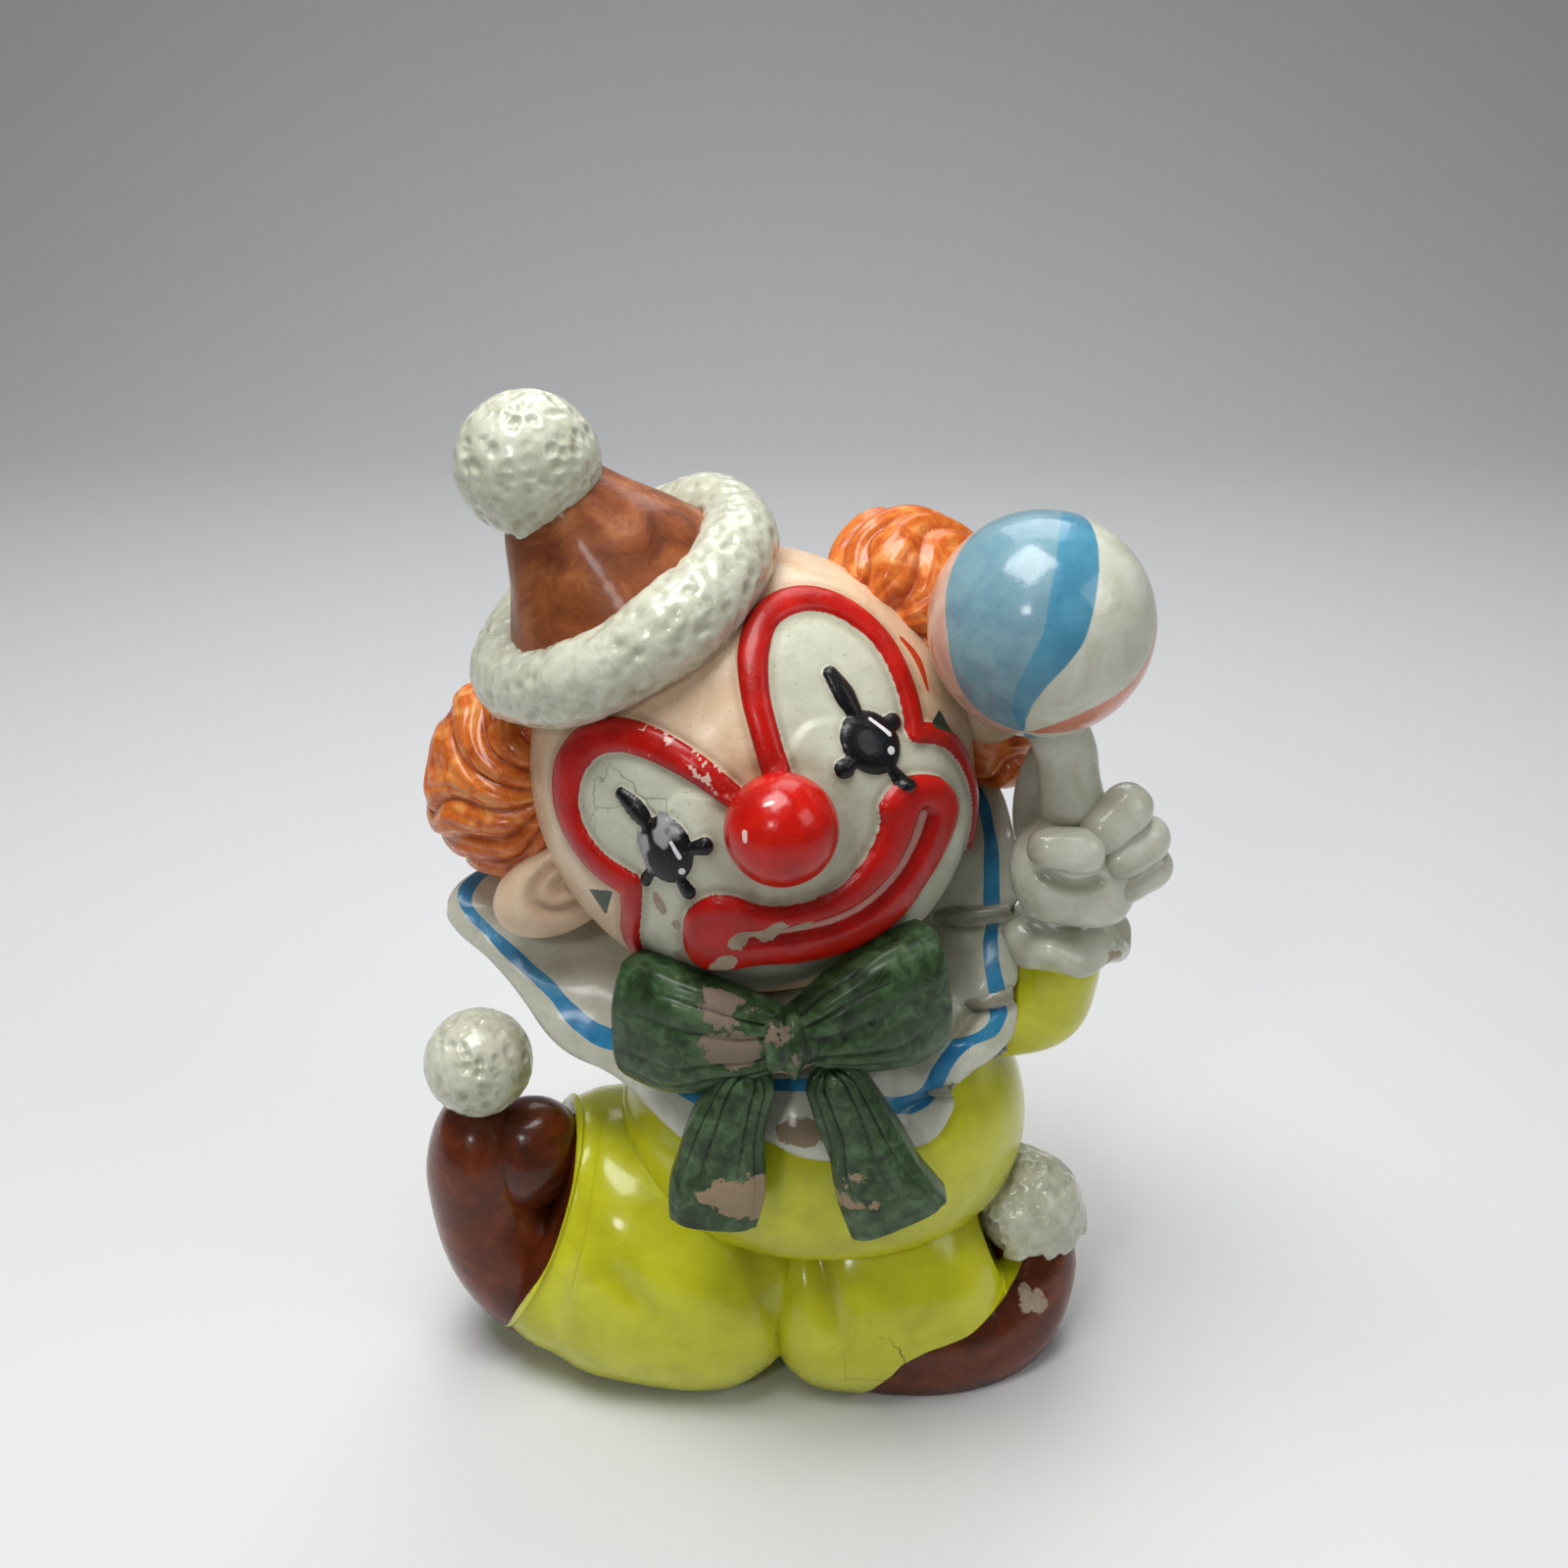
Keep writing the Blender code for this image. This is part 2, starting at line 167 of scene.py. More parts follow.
def band(spots: Array, stations: list[Station], pieces: int = 60) -> tuple[Array, Array, Array]:
    """A drawn line of changing width.

    Args:
        spots: points of the plane it is drawn in.
        stations: across, up and half width, along the line.
        pieces: how finely the line is broken up.

    Returns:
        How far each spot is inside the line's edge, the distance from its middle in half widths, and the
        place along it from 0 to 1.
    """
    t = np.linspace(0, 1, pieces + 1)
    far, where = line_distance(spots, along([s[:2] for s in stations], t))
    half = np.interp(where, t, along([s[2:3] for s in stations], t)[:, 0])
    return half - far, far / np.maximum(half, 1e-3), where


def inside(spots: Array, outline: list[Station], rounded: bool = True) -> Array:
    """How far each spot is inside a closed outline, less than zero outside."""
    count = len(outline) * 8 if rounded else len(outline)
    if rounded:
        ring = along(outline, np.arange(count) / count, closed=True)
    else:
        ring = np.array(outline, float)
    loop = np.vstack([ring, ring[:1]])
    far, _ = line_distance(spots, loop)
    crossings = np.zeros(len(spots), int)
    for (x0, y0), (x1, y1) in zip(loop[:-1], loop[1:]):
        spans = (y0 > spots[:, 1]) != (y1 > spots[:, 1])
        if y1 != y0:
            crossings += spans & (spots[:, 0] < (x1 - x0) * (spots[:, 1] - y0) / (y1 - y0) + x0)
    return np.where(crossings % 2 == 1, far, -far)


# ---- the clay itself ---------------------------------------------


@dataclass
class Clay:
    """One modelled piece: a mesh object, and the painted areas kept on its points."""

    piece: bpy.types.Object

    @classmethod
    def named(cls, name: str) -> "Clay":
        """The primitive that has just been added, under its name."""
        made = bpy.context.object
        made.name = name
        made.data.name = name
        return cls(made)

    @classmethod
    def ball(cls, name: str, segments: int, rings: int) -> "Clay":
        """A ball of radius one, to be shaped."""
        bpy.ops.object.select_all(action="DESELECT")
        bpy.ops.mesh.primitive_uv_sphere_add(segments=segments, ring_count=rings, radius=1.0)
        return cls.named(name)

    @classmethod
    def ring(cls, name: str, around: int, across: int) -> "Clay":
        """A ring of radius one whose section has radius a quarter, to be shaped."""
        bpy.ops.object.select_all(action="DESELECT")
        bpy.ops.mesh.primitive_torus_add(
            major_segments=around, minor_segments=across, major_radius=1.0, minor_radius=0.25
        )
        return cls.named(name)

    def read(self, what: str) -> Array:
        """One vector for each point of the mesh."""
        values = np.empty(len(self.piece.data.vertices) * 3, np.float32)
        self.piece.data.vertices.foreach_get(what, values)
        return values.reshape(-1, 3).astype(float)

    def raw(self) -> Array:
        """The points as they are in the mesh."""
        return self.read("co")

    def normals(self) -> Array:
        """Outward directions at the points."""
        return self.read("normal")

    def spots(self) -> Array:
        """The points in the potter's millimetres."""
        return self.raw() / MM - FOOT_CENTRE

    def move_to(self, spots: Array) -> None:
        """Puts every point at its new place, given in the potter's millimetres."""
        placed = ((spots + FOOT_CENTRE) * MM).astype(np.float32)
        self.piece.data.vertices.foreach_set("co", placed.ravel())
        self.piece.data.update()

    def swell(self, amount: Array) -> None:
        """Moves every point along its normal by its amount in millimetres."""
        self.move_to(self.spots() + self.normals() * amount[:, None])

    def note(self, name: str, values: Array) -> None:
        """Keeps a value on every point for the paint to read."""
        layer = self.piece.data.attributes.get(name)
        if layer is None:
            layer = self.piece.data.attributes.new(name, "FLOAT", "POINT")
        layer.data.foreach_set("value", np.asarray(values, np.float32))

    def select(self) -> None:
        """Makes the piece the only one that operators work on."""
        bpy.ops.object.select_all(action="DESELECT")
        self.piece.select_set(True)
        bpy.context.view_layer.objects.active = self.piece

    def modify(self, kind: str, **settings: object) -> None:
        """Adds a modifier with its settings and applies it."""
        self.select()
        added = self.piece.modifiers.new(kind.title(), kind)
        for key, value in settings.items():
            setattr(added, key, value)
        bpy.ops.object.modifier_apply(modifier=added.name)

    def outward(self) -> None:
        """Merges doubles and turns all faces outwards."""
        self.select()
        bpy.ops.object.mode_set(mode="EDIT")
        bpy.ops.mesh.select_all(action="SELECT")
        bpy.ops.mesh.remove_doubles(threshold=1e-7)
        bpy.ops.mesh.normals_make_consistent(inside=False)
        bpy.ops.object.mode_set(mode="OBJECT")

    def finish(self, material: bpy.types.Material, slot: "Slot", *nodes: str) -> None:
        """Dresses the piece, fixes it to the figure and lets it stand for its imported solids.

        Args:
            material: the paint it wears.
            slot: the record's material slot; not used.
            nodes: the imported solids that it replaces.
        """
        self.piece.data.shade_smooth()
        self.piece.data.materials.clear()
        self.piece.data.materials.append(material)
        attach(self.piece, "root")
        if nodes:
            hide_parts(*nodes)
        LOG.info("%s: %d faces", self.piece.name, len(self.piece.data.polygons))


@dataclass
class Form:
    """A rounded form along a path, like a rolled and pressed coil of clay.

    A station is x, y, z, half size across and half size along side.
    """

    name: str
    stations: list[Station]
    side: Station = (0, 1, 0)
    ends: tuple[float, float] = (0.2, 0.2)
    segments: int = 96
    rings: int = 72
    squareness: float = 2.0
    t: Array = field(default=None, repr=False)
    angle: Array = field(default=None, repr=False)

    def build(self) -> Clay:
        """Models the form, and keeps each point's place along and round it."""
        clay = Clay.ball(self.name, self.segments, self.rings)
        ball = clay.raw()
        self.t = np.arccos(np.clip(ball[:, 2], -1, 1)) / math.pi
        self.angle = np.arctan2(ball[:, 1], ball[:, 0])
        self.t = 0.5 - 0.5 * np.cos(self.t * math.pi) * 0.45 + (self.t - 0.5) * 0.55
        row = along(self.stations, self.t)
        ahead = along([s[:3] for s in self.stations], self.t + 0.02)
        behind = along([s[:3] for s in self.stations], self.t - 0.02)
        way = unit(ahead - behind)
        side = np.array(self.side, float)
        deep = unit(side - way * (way @ side)[:, None])
        wide = np.cross(deep, way)
        share = np.minimum(np.minimum(self.t / self.ends[0], (1 - self.t) / self.ends[1]), 1.0)
        full = np.sqrt(np.maximum(0.0, 1.0 - (1.0 - share) ** 2))
        power = 2.0 / self.squareness
        cos, sin = np.cos(self.angle), np.sin(self.angle)
        cos, sin = np.sign(cos) * np.abs(cos) ** power, np.sign(sin) * np.abs(sin) ** power
        offset = wide * (row[:, 3] * cos)[:, None] + deep * (row[:, 4] * sin)[:, None]
        clay.move_to(row[:, :3] + offset * full[:, None])
        clay.outward()
        return clay


def egg(name: str, centre: Station, radii: Station, roll: float = 0.0, segments: int = 96,
        rings: int = 64) -> Clay:
    """An ellipsoid.

    Args:
        name: the piece's name.
        centre: its middle.
        radii: its half sizes before it is rolled.
        roll: degrees that its top leans to -X.
        segments: faces round it.
        rings: faces from pole to pole.

    Returns:
        The modelled piece.
    """
    clay = Clay.ball(name, segments, rings)
    turn = np.array(Matrix.Rotation(math.radians(-roll), 3, "Y"))
    clay.move_to(np.array(centre, float) + (clay.raw() * np.array(radii, float)) @ turn.T)
    return clay


# ---- paints ------------------------------------------------------


def srgb(code: str) -> tuple[float, float, float, float]:
    """The linear colour of an sRGB hex code."""
    values = [int(code[i : i + 2], 16) / 255 for i in (1, 3, 5)]
    return (*(v / 12.92 if v <= 0.04045 else ((v + 0.055) / 1.055) ** 2.4 for v in values), 1.0)


@dataclass
class Mixer:
    """Adds the shader nodes of one paint. Sizes are in millimetres on the piece itself."""

    tree: bpy.types.NodeTree
    place: Socket | None = None

    def add(self, kind: str, settings: dict[str, object] | None = None, **inputs: object) -> bpy.types.Node:
        """Adds a shader node.

        Args:
            kind: the node's type name, after ShaderNode.
            settings: its own options.
            **inputs: values or sockets for its inputs, by name with _ for a space, or i0, i1, i2 by place.

        Returns:
            The new node.
        """
        node = self.tree.nodes.new("ShaderNode" + kind)
        for key, value in (settings or {}).items():
            setattr(node, key, value)
        for key, value in inputs.items():
            numbered = key[0] == "i" and key[1:].isdigit()
            socket = node.inputs[int(key[1:]) if numbered else key.replace("_", " ")]
            if isinstance(value, Socket):
                self.tree.links.new(value, socket)
            else:
                socket.default_value = value
        return node

    def noise(self, size: float, detail: float, output: str = "Fac", **more: float) -> Socket:
        """Noise whose largest clouds are of about the given size."""
        made = self.add("TexNoise", Vector=self.place, Scale=1 / (size * MM), Detail=detail, **more)
        return made.outputs[output]

    def noted(self, name: str) -> Socket:
        """The value that the piece's points keep under a name."""
        return self.add("Attribute", {"attribute_name": name}).outputs["Fac"]

    def math(self, operation: str, *values: object, clamp: bool = False) -> Socket:
        """One step of arithmetic."""
        inputs = {f"i{place}": value for place, value in enumerate(values)}
        return self.add("Math", {"operation": operation, "use_clamp": clamp}, **inputs).outputs[0]

    def span(self, value: Socket, low: float, high: float, first: float = 0.0, last: float = 1.0,
             kind: str = "LINEAR") -> Socket:
        """A value from low to high, turned into one from first to last."""
        return self.add("MapRange", {"interpolation_type": kind}, Value=value, From_Min=low, From_Max=high,
                        To_Min=first, To_Max=last).outputs[0]

    def blend(self, amount: Socket, under: object, over: object, mode: str = "MIX") -> Socket:
        """One colour over another by an amount."""
        return self.add("Mix", {"data_type": "RGBA", "blend_type": mode}, i0=amount, i6=under,
                        i7=over).outputs[2]


@dataclass(frozen=True)
class Layer:
    """Paint laid where an attribute is above zero; the attribute is millimetres inside the edge."""

    attribute: str
    colour: str
    soft: float = 0.06
    wobble: float = 0.10
    shade: str | None = None


@dataclass(frozen=True)
class ColdPaint:
    """Acrylic brushed on fired bisque, antiqued with a brown wash and sealed with a gloss spray.

    It gives the eye a cloudy colour with brush marks, dirt and painted shade in the hollows, dust specks and a
    soft shine.
    mottle is the size of the clouds in mm, speck how many dust specks show, grain the bump's depth in mm.
    """

    name: str
    colour: str
    shade: str
    light: str
    mottle: float = 9.0
    contrast: float = 0.5
    gloss: float = 0.26
    speck: float = 0.25
    # colour of the antique wash, also used as painted shade in creases, under things and near the floor
    wash_and_shade: str = "#5b4a35"
    wash_and_shade_strength: float = 0.75
    grain: float = 0.05
    coat: float = 0.35
    bisque: str = "#b9a68f"
    layers: tuple[Layer, ...] = ()

    def material(self) -> bpy.types.Material:
        """The finished paint."""
        made = bpy.data.materials.new(self.name)
        made.use_nodes = True
        mixer = Mixer(made.node_tree)
        mixer.place = mixer.add("TexCoord").outputs["Object"]
        smear = mixer.noise(SMEAR_SIZE, 5.0)
        colour = self.clouds(mixer)
        edge = mixer.noise(EDGE_SIZE, 2.0)
        for layer in self.layers:
            colour = self.lay(mixer, colour, edge, layer)
        colour = self.soil_and_shade(mixer, colour, smear)
        # chips, where the paint has come off down to the bisque
        flake = mixer.noise(FLAKE_SIZE, 6.0, Roughness=0.65)
        bare = mixer.span(mixer.math("SUBTRACT", mixer.noted("wear"), flake), 0.0, 0.03, kind="SMOOTHSTEP")
        clay = mixer.blend(mixer.noise(1.2, 5.0), srgb(self.bisque), srgb("#8d7a66"))
        colour = mixer.blend(bare, colour, clay)
        # shine, uneven where the spray is thin, gone on bare clay
        patchy = mixer.span(smear, 0.3, 0.7, self.gloss - 0.05, self.gloss + 0.09)
        rough = mixer.math("MULTIPLY_ADD", bare, 0.5, patchy, clamp=True)
        # brush marks and cast skin
        height = mixer.math("MULTIPLY_ADD", bare, -1.6, mixer.noise(1.4, 3.0))
        bump = mixer.add("Bump", Height=height, Strength=0.5, Distance=self.grain * MM * 4)
        shader = made.node_tree.nodes["Principled BSDF"]
        driven = {"Base Color": colour, "Roughness": rough, "Normal": bump.outputs["Normal"]}
        for name, socket in driven.items():
            made.node_tree.links.new(socket, shader.inputs[name])
        shader.inputs["IOR"].default_value = PAINT_IOR
        shader.inputs["Metallic"].default_value = 0.0
        shader.inputs["Specular IOR Level"].default_value = PAINT_SPECULAR
        shader.inputs["Coat Weight"].default_value = self.coat
        shader.inputs["Coat Roughness"].default_value = SEALER_ROUGHNESS
        return made

    def clouds(self, mixer: Mixer) -> Socket:
        """The uneven coat: clouds and brush marks between the shade and the light."""
        large = mixer.noise(self.mottle, 4.0, Roughness=0.6, Distortion=0.8)
        ramp = mixer.add("ValToRGB", Fac=large)
        spread = 0.28 - 0.18 * self.contrast
        stops = ramp.color_ramp.elements
        stops[0].position = 0.5 - spread
        stops[0].color = srgb(self.shade)
        stops[1].position = 0.5 + spread
        stops[1].color = srgb(self.light)
        stops.new(0.5).color = srgb(self.colour)
        return ramp.outputs["Color"]

    @staticmethod
    def lay(mixer: Mixer, under: Socket, edge: Socket, layer: Layer) -> Socket:
        """Lays one painted area over what is there, with a hand-painted edge."""
        shaky = mixer.math("MULTIPLY_ADD", edge, layer.wobble * 2, mixer.noted(layer.attribute))
        mask = mixer.span(shaky, layer.wobble - layer.soft, layer.wobble + layer.soft, kind="SMOOTHSTEP")
        over: object = srgb(layer.colour)
        if layer.shade:
            over = mixer.blend(mixer.span(mixer.noise(5.0, 4.0), 0.35, 0.65), srgb(layer.shade), over)
        return mixer.blend(mask, under, over)

    def soil_and_shade(self, mixer: Mixer, colour: Socket, smear: Socket) -> Socket:
        """The antique wash in the hollows, which also paints shade in creases, under things and near the floor;
        dust specks, and hairline crazing where it is noted.
        """
        # painted shade and antique wash: the noted wash darkens hollows, undersides and places near the floor
        amount = mixer.math("MULTIPLY", mixer.noted("wash_and_shade"), mixer.math("MULTIPLY_ADD", smear, 0.9, 0.45),
                            clamp=True)
        amount = mixer.math("MULTIPLY", amount, self.wash_and_shade_strength)
        colour = mixer.blend(amount, colour, srgb(self.wash_and_shade), "MULTIPLY")
        low = 0.80 - 0.16 * self.speck
        speck = mixer.span(mixer.noise(DUST_SIZE, 1.0), low, low + 0.05, last=0.55, kind="SMOOTHSTEP")
        colour = mixer.blend(speck, colour, srgb("#6a5c48"))
        bent = mixer.add("VectorMath", {"operation": "SCALE"}, i0=mixer.noise(5.0, 3.0, "Color"), Scale=0.004)
        bent = mixer.add("VectorMath", {"operation": "ADD"}, i0=mixer.place, i1=bent.outputs[0])
        cells = mixer.add("TexVoronoi", {"feature": "DISTANCE_TO_EDGE"}, Vector=bent.outputs[0],
                          Scale=1 / (CRAZE_SIZE * MM))
        hair = mixer.span(cells.outputs["Distance"], 0.006, 0.014, 1.0, 0.0)
        hair = mixer.math("MULTIPLY", hair, mixer.noted("craze"), clamp=True)
        return mixer.blend(hair, colour, srgb("#4a4434"))


class Slot(Enum):
    """The record's material slots."""

    YELLOW = "yellow_paint"
    FLESH = "flesh_paint"
    WHITE = "white_paint"
    BROWN = "brown_paint"
    RED = "red_paint"
    ORANGE = "orange_paint"
    GREEN = "green_paint"
    BLACK = "black_paint"
    BALLOON = "balloon_paint"


YELLOW = ColdPaint("acrylic lemon yellow on bisque", "#d0d022", "#bcba1e", "#dcdc34", mottle=14,
                   contrast=0.26, gloss=0.24, speck=0.3, wash_and_shade="#8a8420", grain=0.03, coat=0.45)
CREAM = ColdPaint("acrylic flesh cream on bisque", "#dcbf9f", "#cdab88", "#e6cfb0", mottle=10, contrast=0.3,
                  gloss=0.34, speck=0.5, wash_and_shade="#8f6f4d", coat=0.25)
WHITE = ColdPaint("acrylic off-white on bisque", "#d0d1bf", "#bfbfaa", "#dcddcf", mottle=8, contrast=0.35,
                  gloss=0.28, speck=0.4, wash_and_shade="#84785f", coat=0.6)
FLEECE = ColdPaint("acrylic off-white on stippled bisque", "#cbccb7", "#b7b79f", "#dadbc9", mottle=3.5,
                   contrast=0.4, gloss=0.26, speck=0.25, wash_and_shade="#8d8672", wash_and_shade_strength=0.6, coat=0.6)
BROWN = ColdPaint("acrylic chestnut brown on bisque", "#652b11", "#48200c", "#843f1c", mottle=9, contrast=0.3,
                  gloss=0.26, speck=0.15, wash_and_shade="#3c1a10", coat=0.3)
FELT = ColdPaint("acrylic tan brown on bisque", "#8c4b27", "#643117", "#b2703f", mottle=9, contrast=0.42,
                 gloss=0.36, speck=0.3, wash_and_shade="#43210f", coat=0.2)
RED = ColdPaint("acrylic signal red on bisque", "#c01207", "#a00b04", "#cf200d", mottle=7, contrast=0.3,
                gloss=0.27, speck=0.14, wash_and_shade="#6a1410", coat=0.2)
ORANGE = ColdPaint("acrylic orange dry-brushed on bisque", "#d8732c", "#b54e17", "#eaa159", mottle=4,
                   contrast=0.45, gloss=0.28, speck=0.2, wash_and_shade="#a3410d", coat=0.35)
GREEN = ColdPaint("acrylic bottle green on bisque", "#344d2b", "#1a2a15", "#54704c", mottle=4, contrast=0.45,
                  gloss=0.36, speck=0.3, wash_and_shade="#1c2a16", wash_and_shade_strength=0.95, coat=0.15, bisque="#74695f")


# ---- head --------------------------------------------------------


@dataclass
class Head:
    """The head casting with its painted face, drawn on a plane tipped back and rolled with the head."""

    centre: Array = field(default_factory=lambda: np.array([-5.5, -2.0, 119.5]))
    radii: Array = field(default_factory=lambda: np.array([39.0, 37.0, 40.5]))
    roll: float = 28.0
    tip: float = 25.0
    nose: Station = (-0.4, -42.0, 127.5)
    nose_radius: float = 9.0

    def axes(self) -> tuple[Array, Array, Array]:
        """Across, up and out of the face's plane."""
        tip, roll = math.radians(self.tip), math.radians(self.roll)
        out = np.array([0, -math.cos(tip), math.sin(tip)])
        level, rise = np.array([1.0, 0, 0]), np.array([0, math.sin(tip), math.cos(tip)])
        across = math.cos(roll) * level + math.sin(roll) * rise
        up = -math.sin(roll) * level + math.cos(roll) * rise
        return across, up, out

    def skin(self) -> Clay:
        """The bare head: an egg whose points crowd towards the face."""
        clay = Clay.ball("head_casting", 340, 210)
        ball = clay.raw()
        across, up, out = self.axes()
        polar = np.arccos(np.clip(ball[:, 2], -1, 1)) / math.pi
        front, reach = 0.80, 0.58
        behind = reach + (polar - front) / (1 - front) * (1 - reach)
        polar = np.where(polar < front, polar / front * reach, behind) * math.pi
        angle = np.arctan2(ball[:, 1], ball[:, 0])
        ring = np.sin(polar)[:, None] * (np.cos(angle)[:, None] * across + np.sin(angle)[:, None] * up)
        ways = ring + np.cos(polar)[:, None] * out
        turn = np.array(Matrix.Rotation(math.radians(-self.roll), 3, "Y"))
        clay.move_to(self.centre + ((ways @ turn) * self.radii) @ turn.T)
        clay.outward()
        return clay

    def build(self) -> None:
        """Models the head and paints the face on it."""
        clay = self.skin()
        spots = clay.spots() - self.centre
        across, up, out = self.axes()
        face = np.stack([spots @ across, spots @ up], axis=1)
        ahead = spots @ out > -6.0
        flat = face[ahead]
        areas = Face(flat).areas()
        rise = np.zeros(len(face))
        rise[ahead] = Face.relief(areas)
        clay.swell(rise)
        for name in ("white", "lines", "scuffs", "grooves", "black", "haze", "glints", "leaves", "strokes",
                     "wash_and_shade", "craze", "wear"):
            values = areas[name]
            whole = np.full(len(face), -5.0 if name not in ("wash_and_shade", "craze", "wear") else 0.0)
            whole[ahead] = values
            clay.note(name, whole)
        layers = (
            Layer("white", "#cdceba", shade="#c0c1ab"),
            Layer("lines", "#c01207", wobble=0.06, shade="#a60c04"),
            Layer("scuffs", "#d8b8aa", wobble=0.3, soft=0.15),
            Layer("grooves", "#c98d80", wobble=0.1),
            Layer("black", "#0d0d10", wobble=0.06),
            Layer("haze", "#97979a", wobble=0.8, soft=0.5),
            # painted highlights in the eyes
            Layer("glints", "#dfe2e2", wobble=0.04),
            Layer("leaves", "#2b4030", wobble=0.06),
            Layer("strokes", "#c23c14", wobble=0.06),
        )
        paint = replace(CREAM, name="painted face on bisque", gloss=0.32, speck=0.6, coat=0.15, layers=layers)
        clay.finish(paint.material(), Slot.FLESH, "head", "mouth", "eye_left", "eye_right")
        self.build_nose()
        self.build_ears()

    def build_nose(self) -> None:
        """The round nose, with small strokes of white for its shine."""
        clay = egg("nose_ball", self.nose, (self.nose_radius,) * 3, segments=96, rings=64)
        spots = clay.spots() - np.array(self.nose)
        across, up, out = self.axes()
        flat = np.stack([spots @ across, spots @ up], axis=1)
        front = spots @ out > 0
        glint = np.full(len(flat), -5.0)
        for line in ([(-5.6, 1.2, 0.35), (-5.0, 2.4, 0.4)], [(-0.4, 4.6, 0.3), (0.9, 4.4, 0.35)]):
            glint = np.maximum(glint, np.where(front, band(flat, line)[0], -5.0))
        clay.note("glints", glint)
        # painted shade round the back of the nose, where it meets the face
        clay.note("wash_and_shade", step(7.0, 9.0, -(spots @ out) + 4.0) * 0.6)
        paint = replace(RED, name="red nose paint", mottle=8, gloss=0.22, speck=0.12, coat=0.3,
                        layers=(Layer("glints", "#e9c9c2"),))
        clay.finish(paint.material(), Slot.RED, "nose")

    def build_ears(self) -> None:
        """The ears, each a pressed disc with a rolled edge and a curl inside."""
        paint = CREAM.material()
        for name, node, centre, radii in (
            ("ear_lobed_left", "ear_left", (-41, -8, 98.5), (12.5, 7.5, 8.0)),
            ("ear_lobed_right", "ear_right", (35, 1, 133), (8, 6, 10)),
        ):
            clay = egg(name, centre, radii, self.roll, 140, 100)
            spots = clay.spots() - np.array(centre, float)
            across, up, out = self.axes()
            flat = np.stack([spots @ across / radii[0], spots @ up / radii[2]], axis=1)
            far = np.hypot(flat[:, 0] - 0.25, flat[:, 1])
            facing = step(-0.1, 0.4, (spots @ out) / radii[1])
            dent = bell(far, 0.56, 0.13) * 1.4 + bell(far, 0.12, 0.22) * 1.5
            clay.swell(-dent * facing)
            # the ear's hollows darkened: antique wash and painted shade
            clay.note("wash_and_shade", dent * facing * 0.45)
            clay.finish(paint, Slot.FLESH, node)


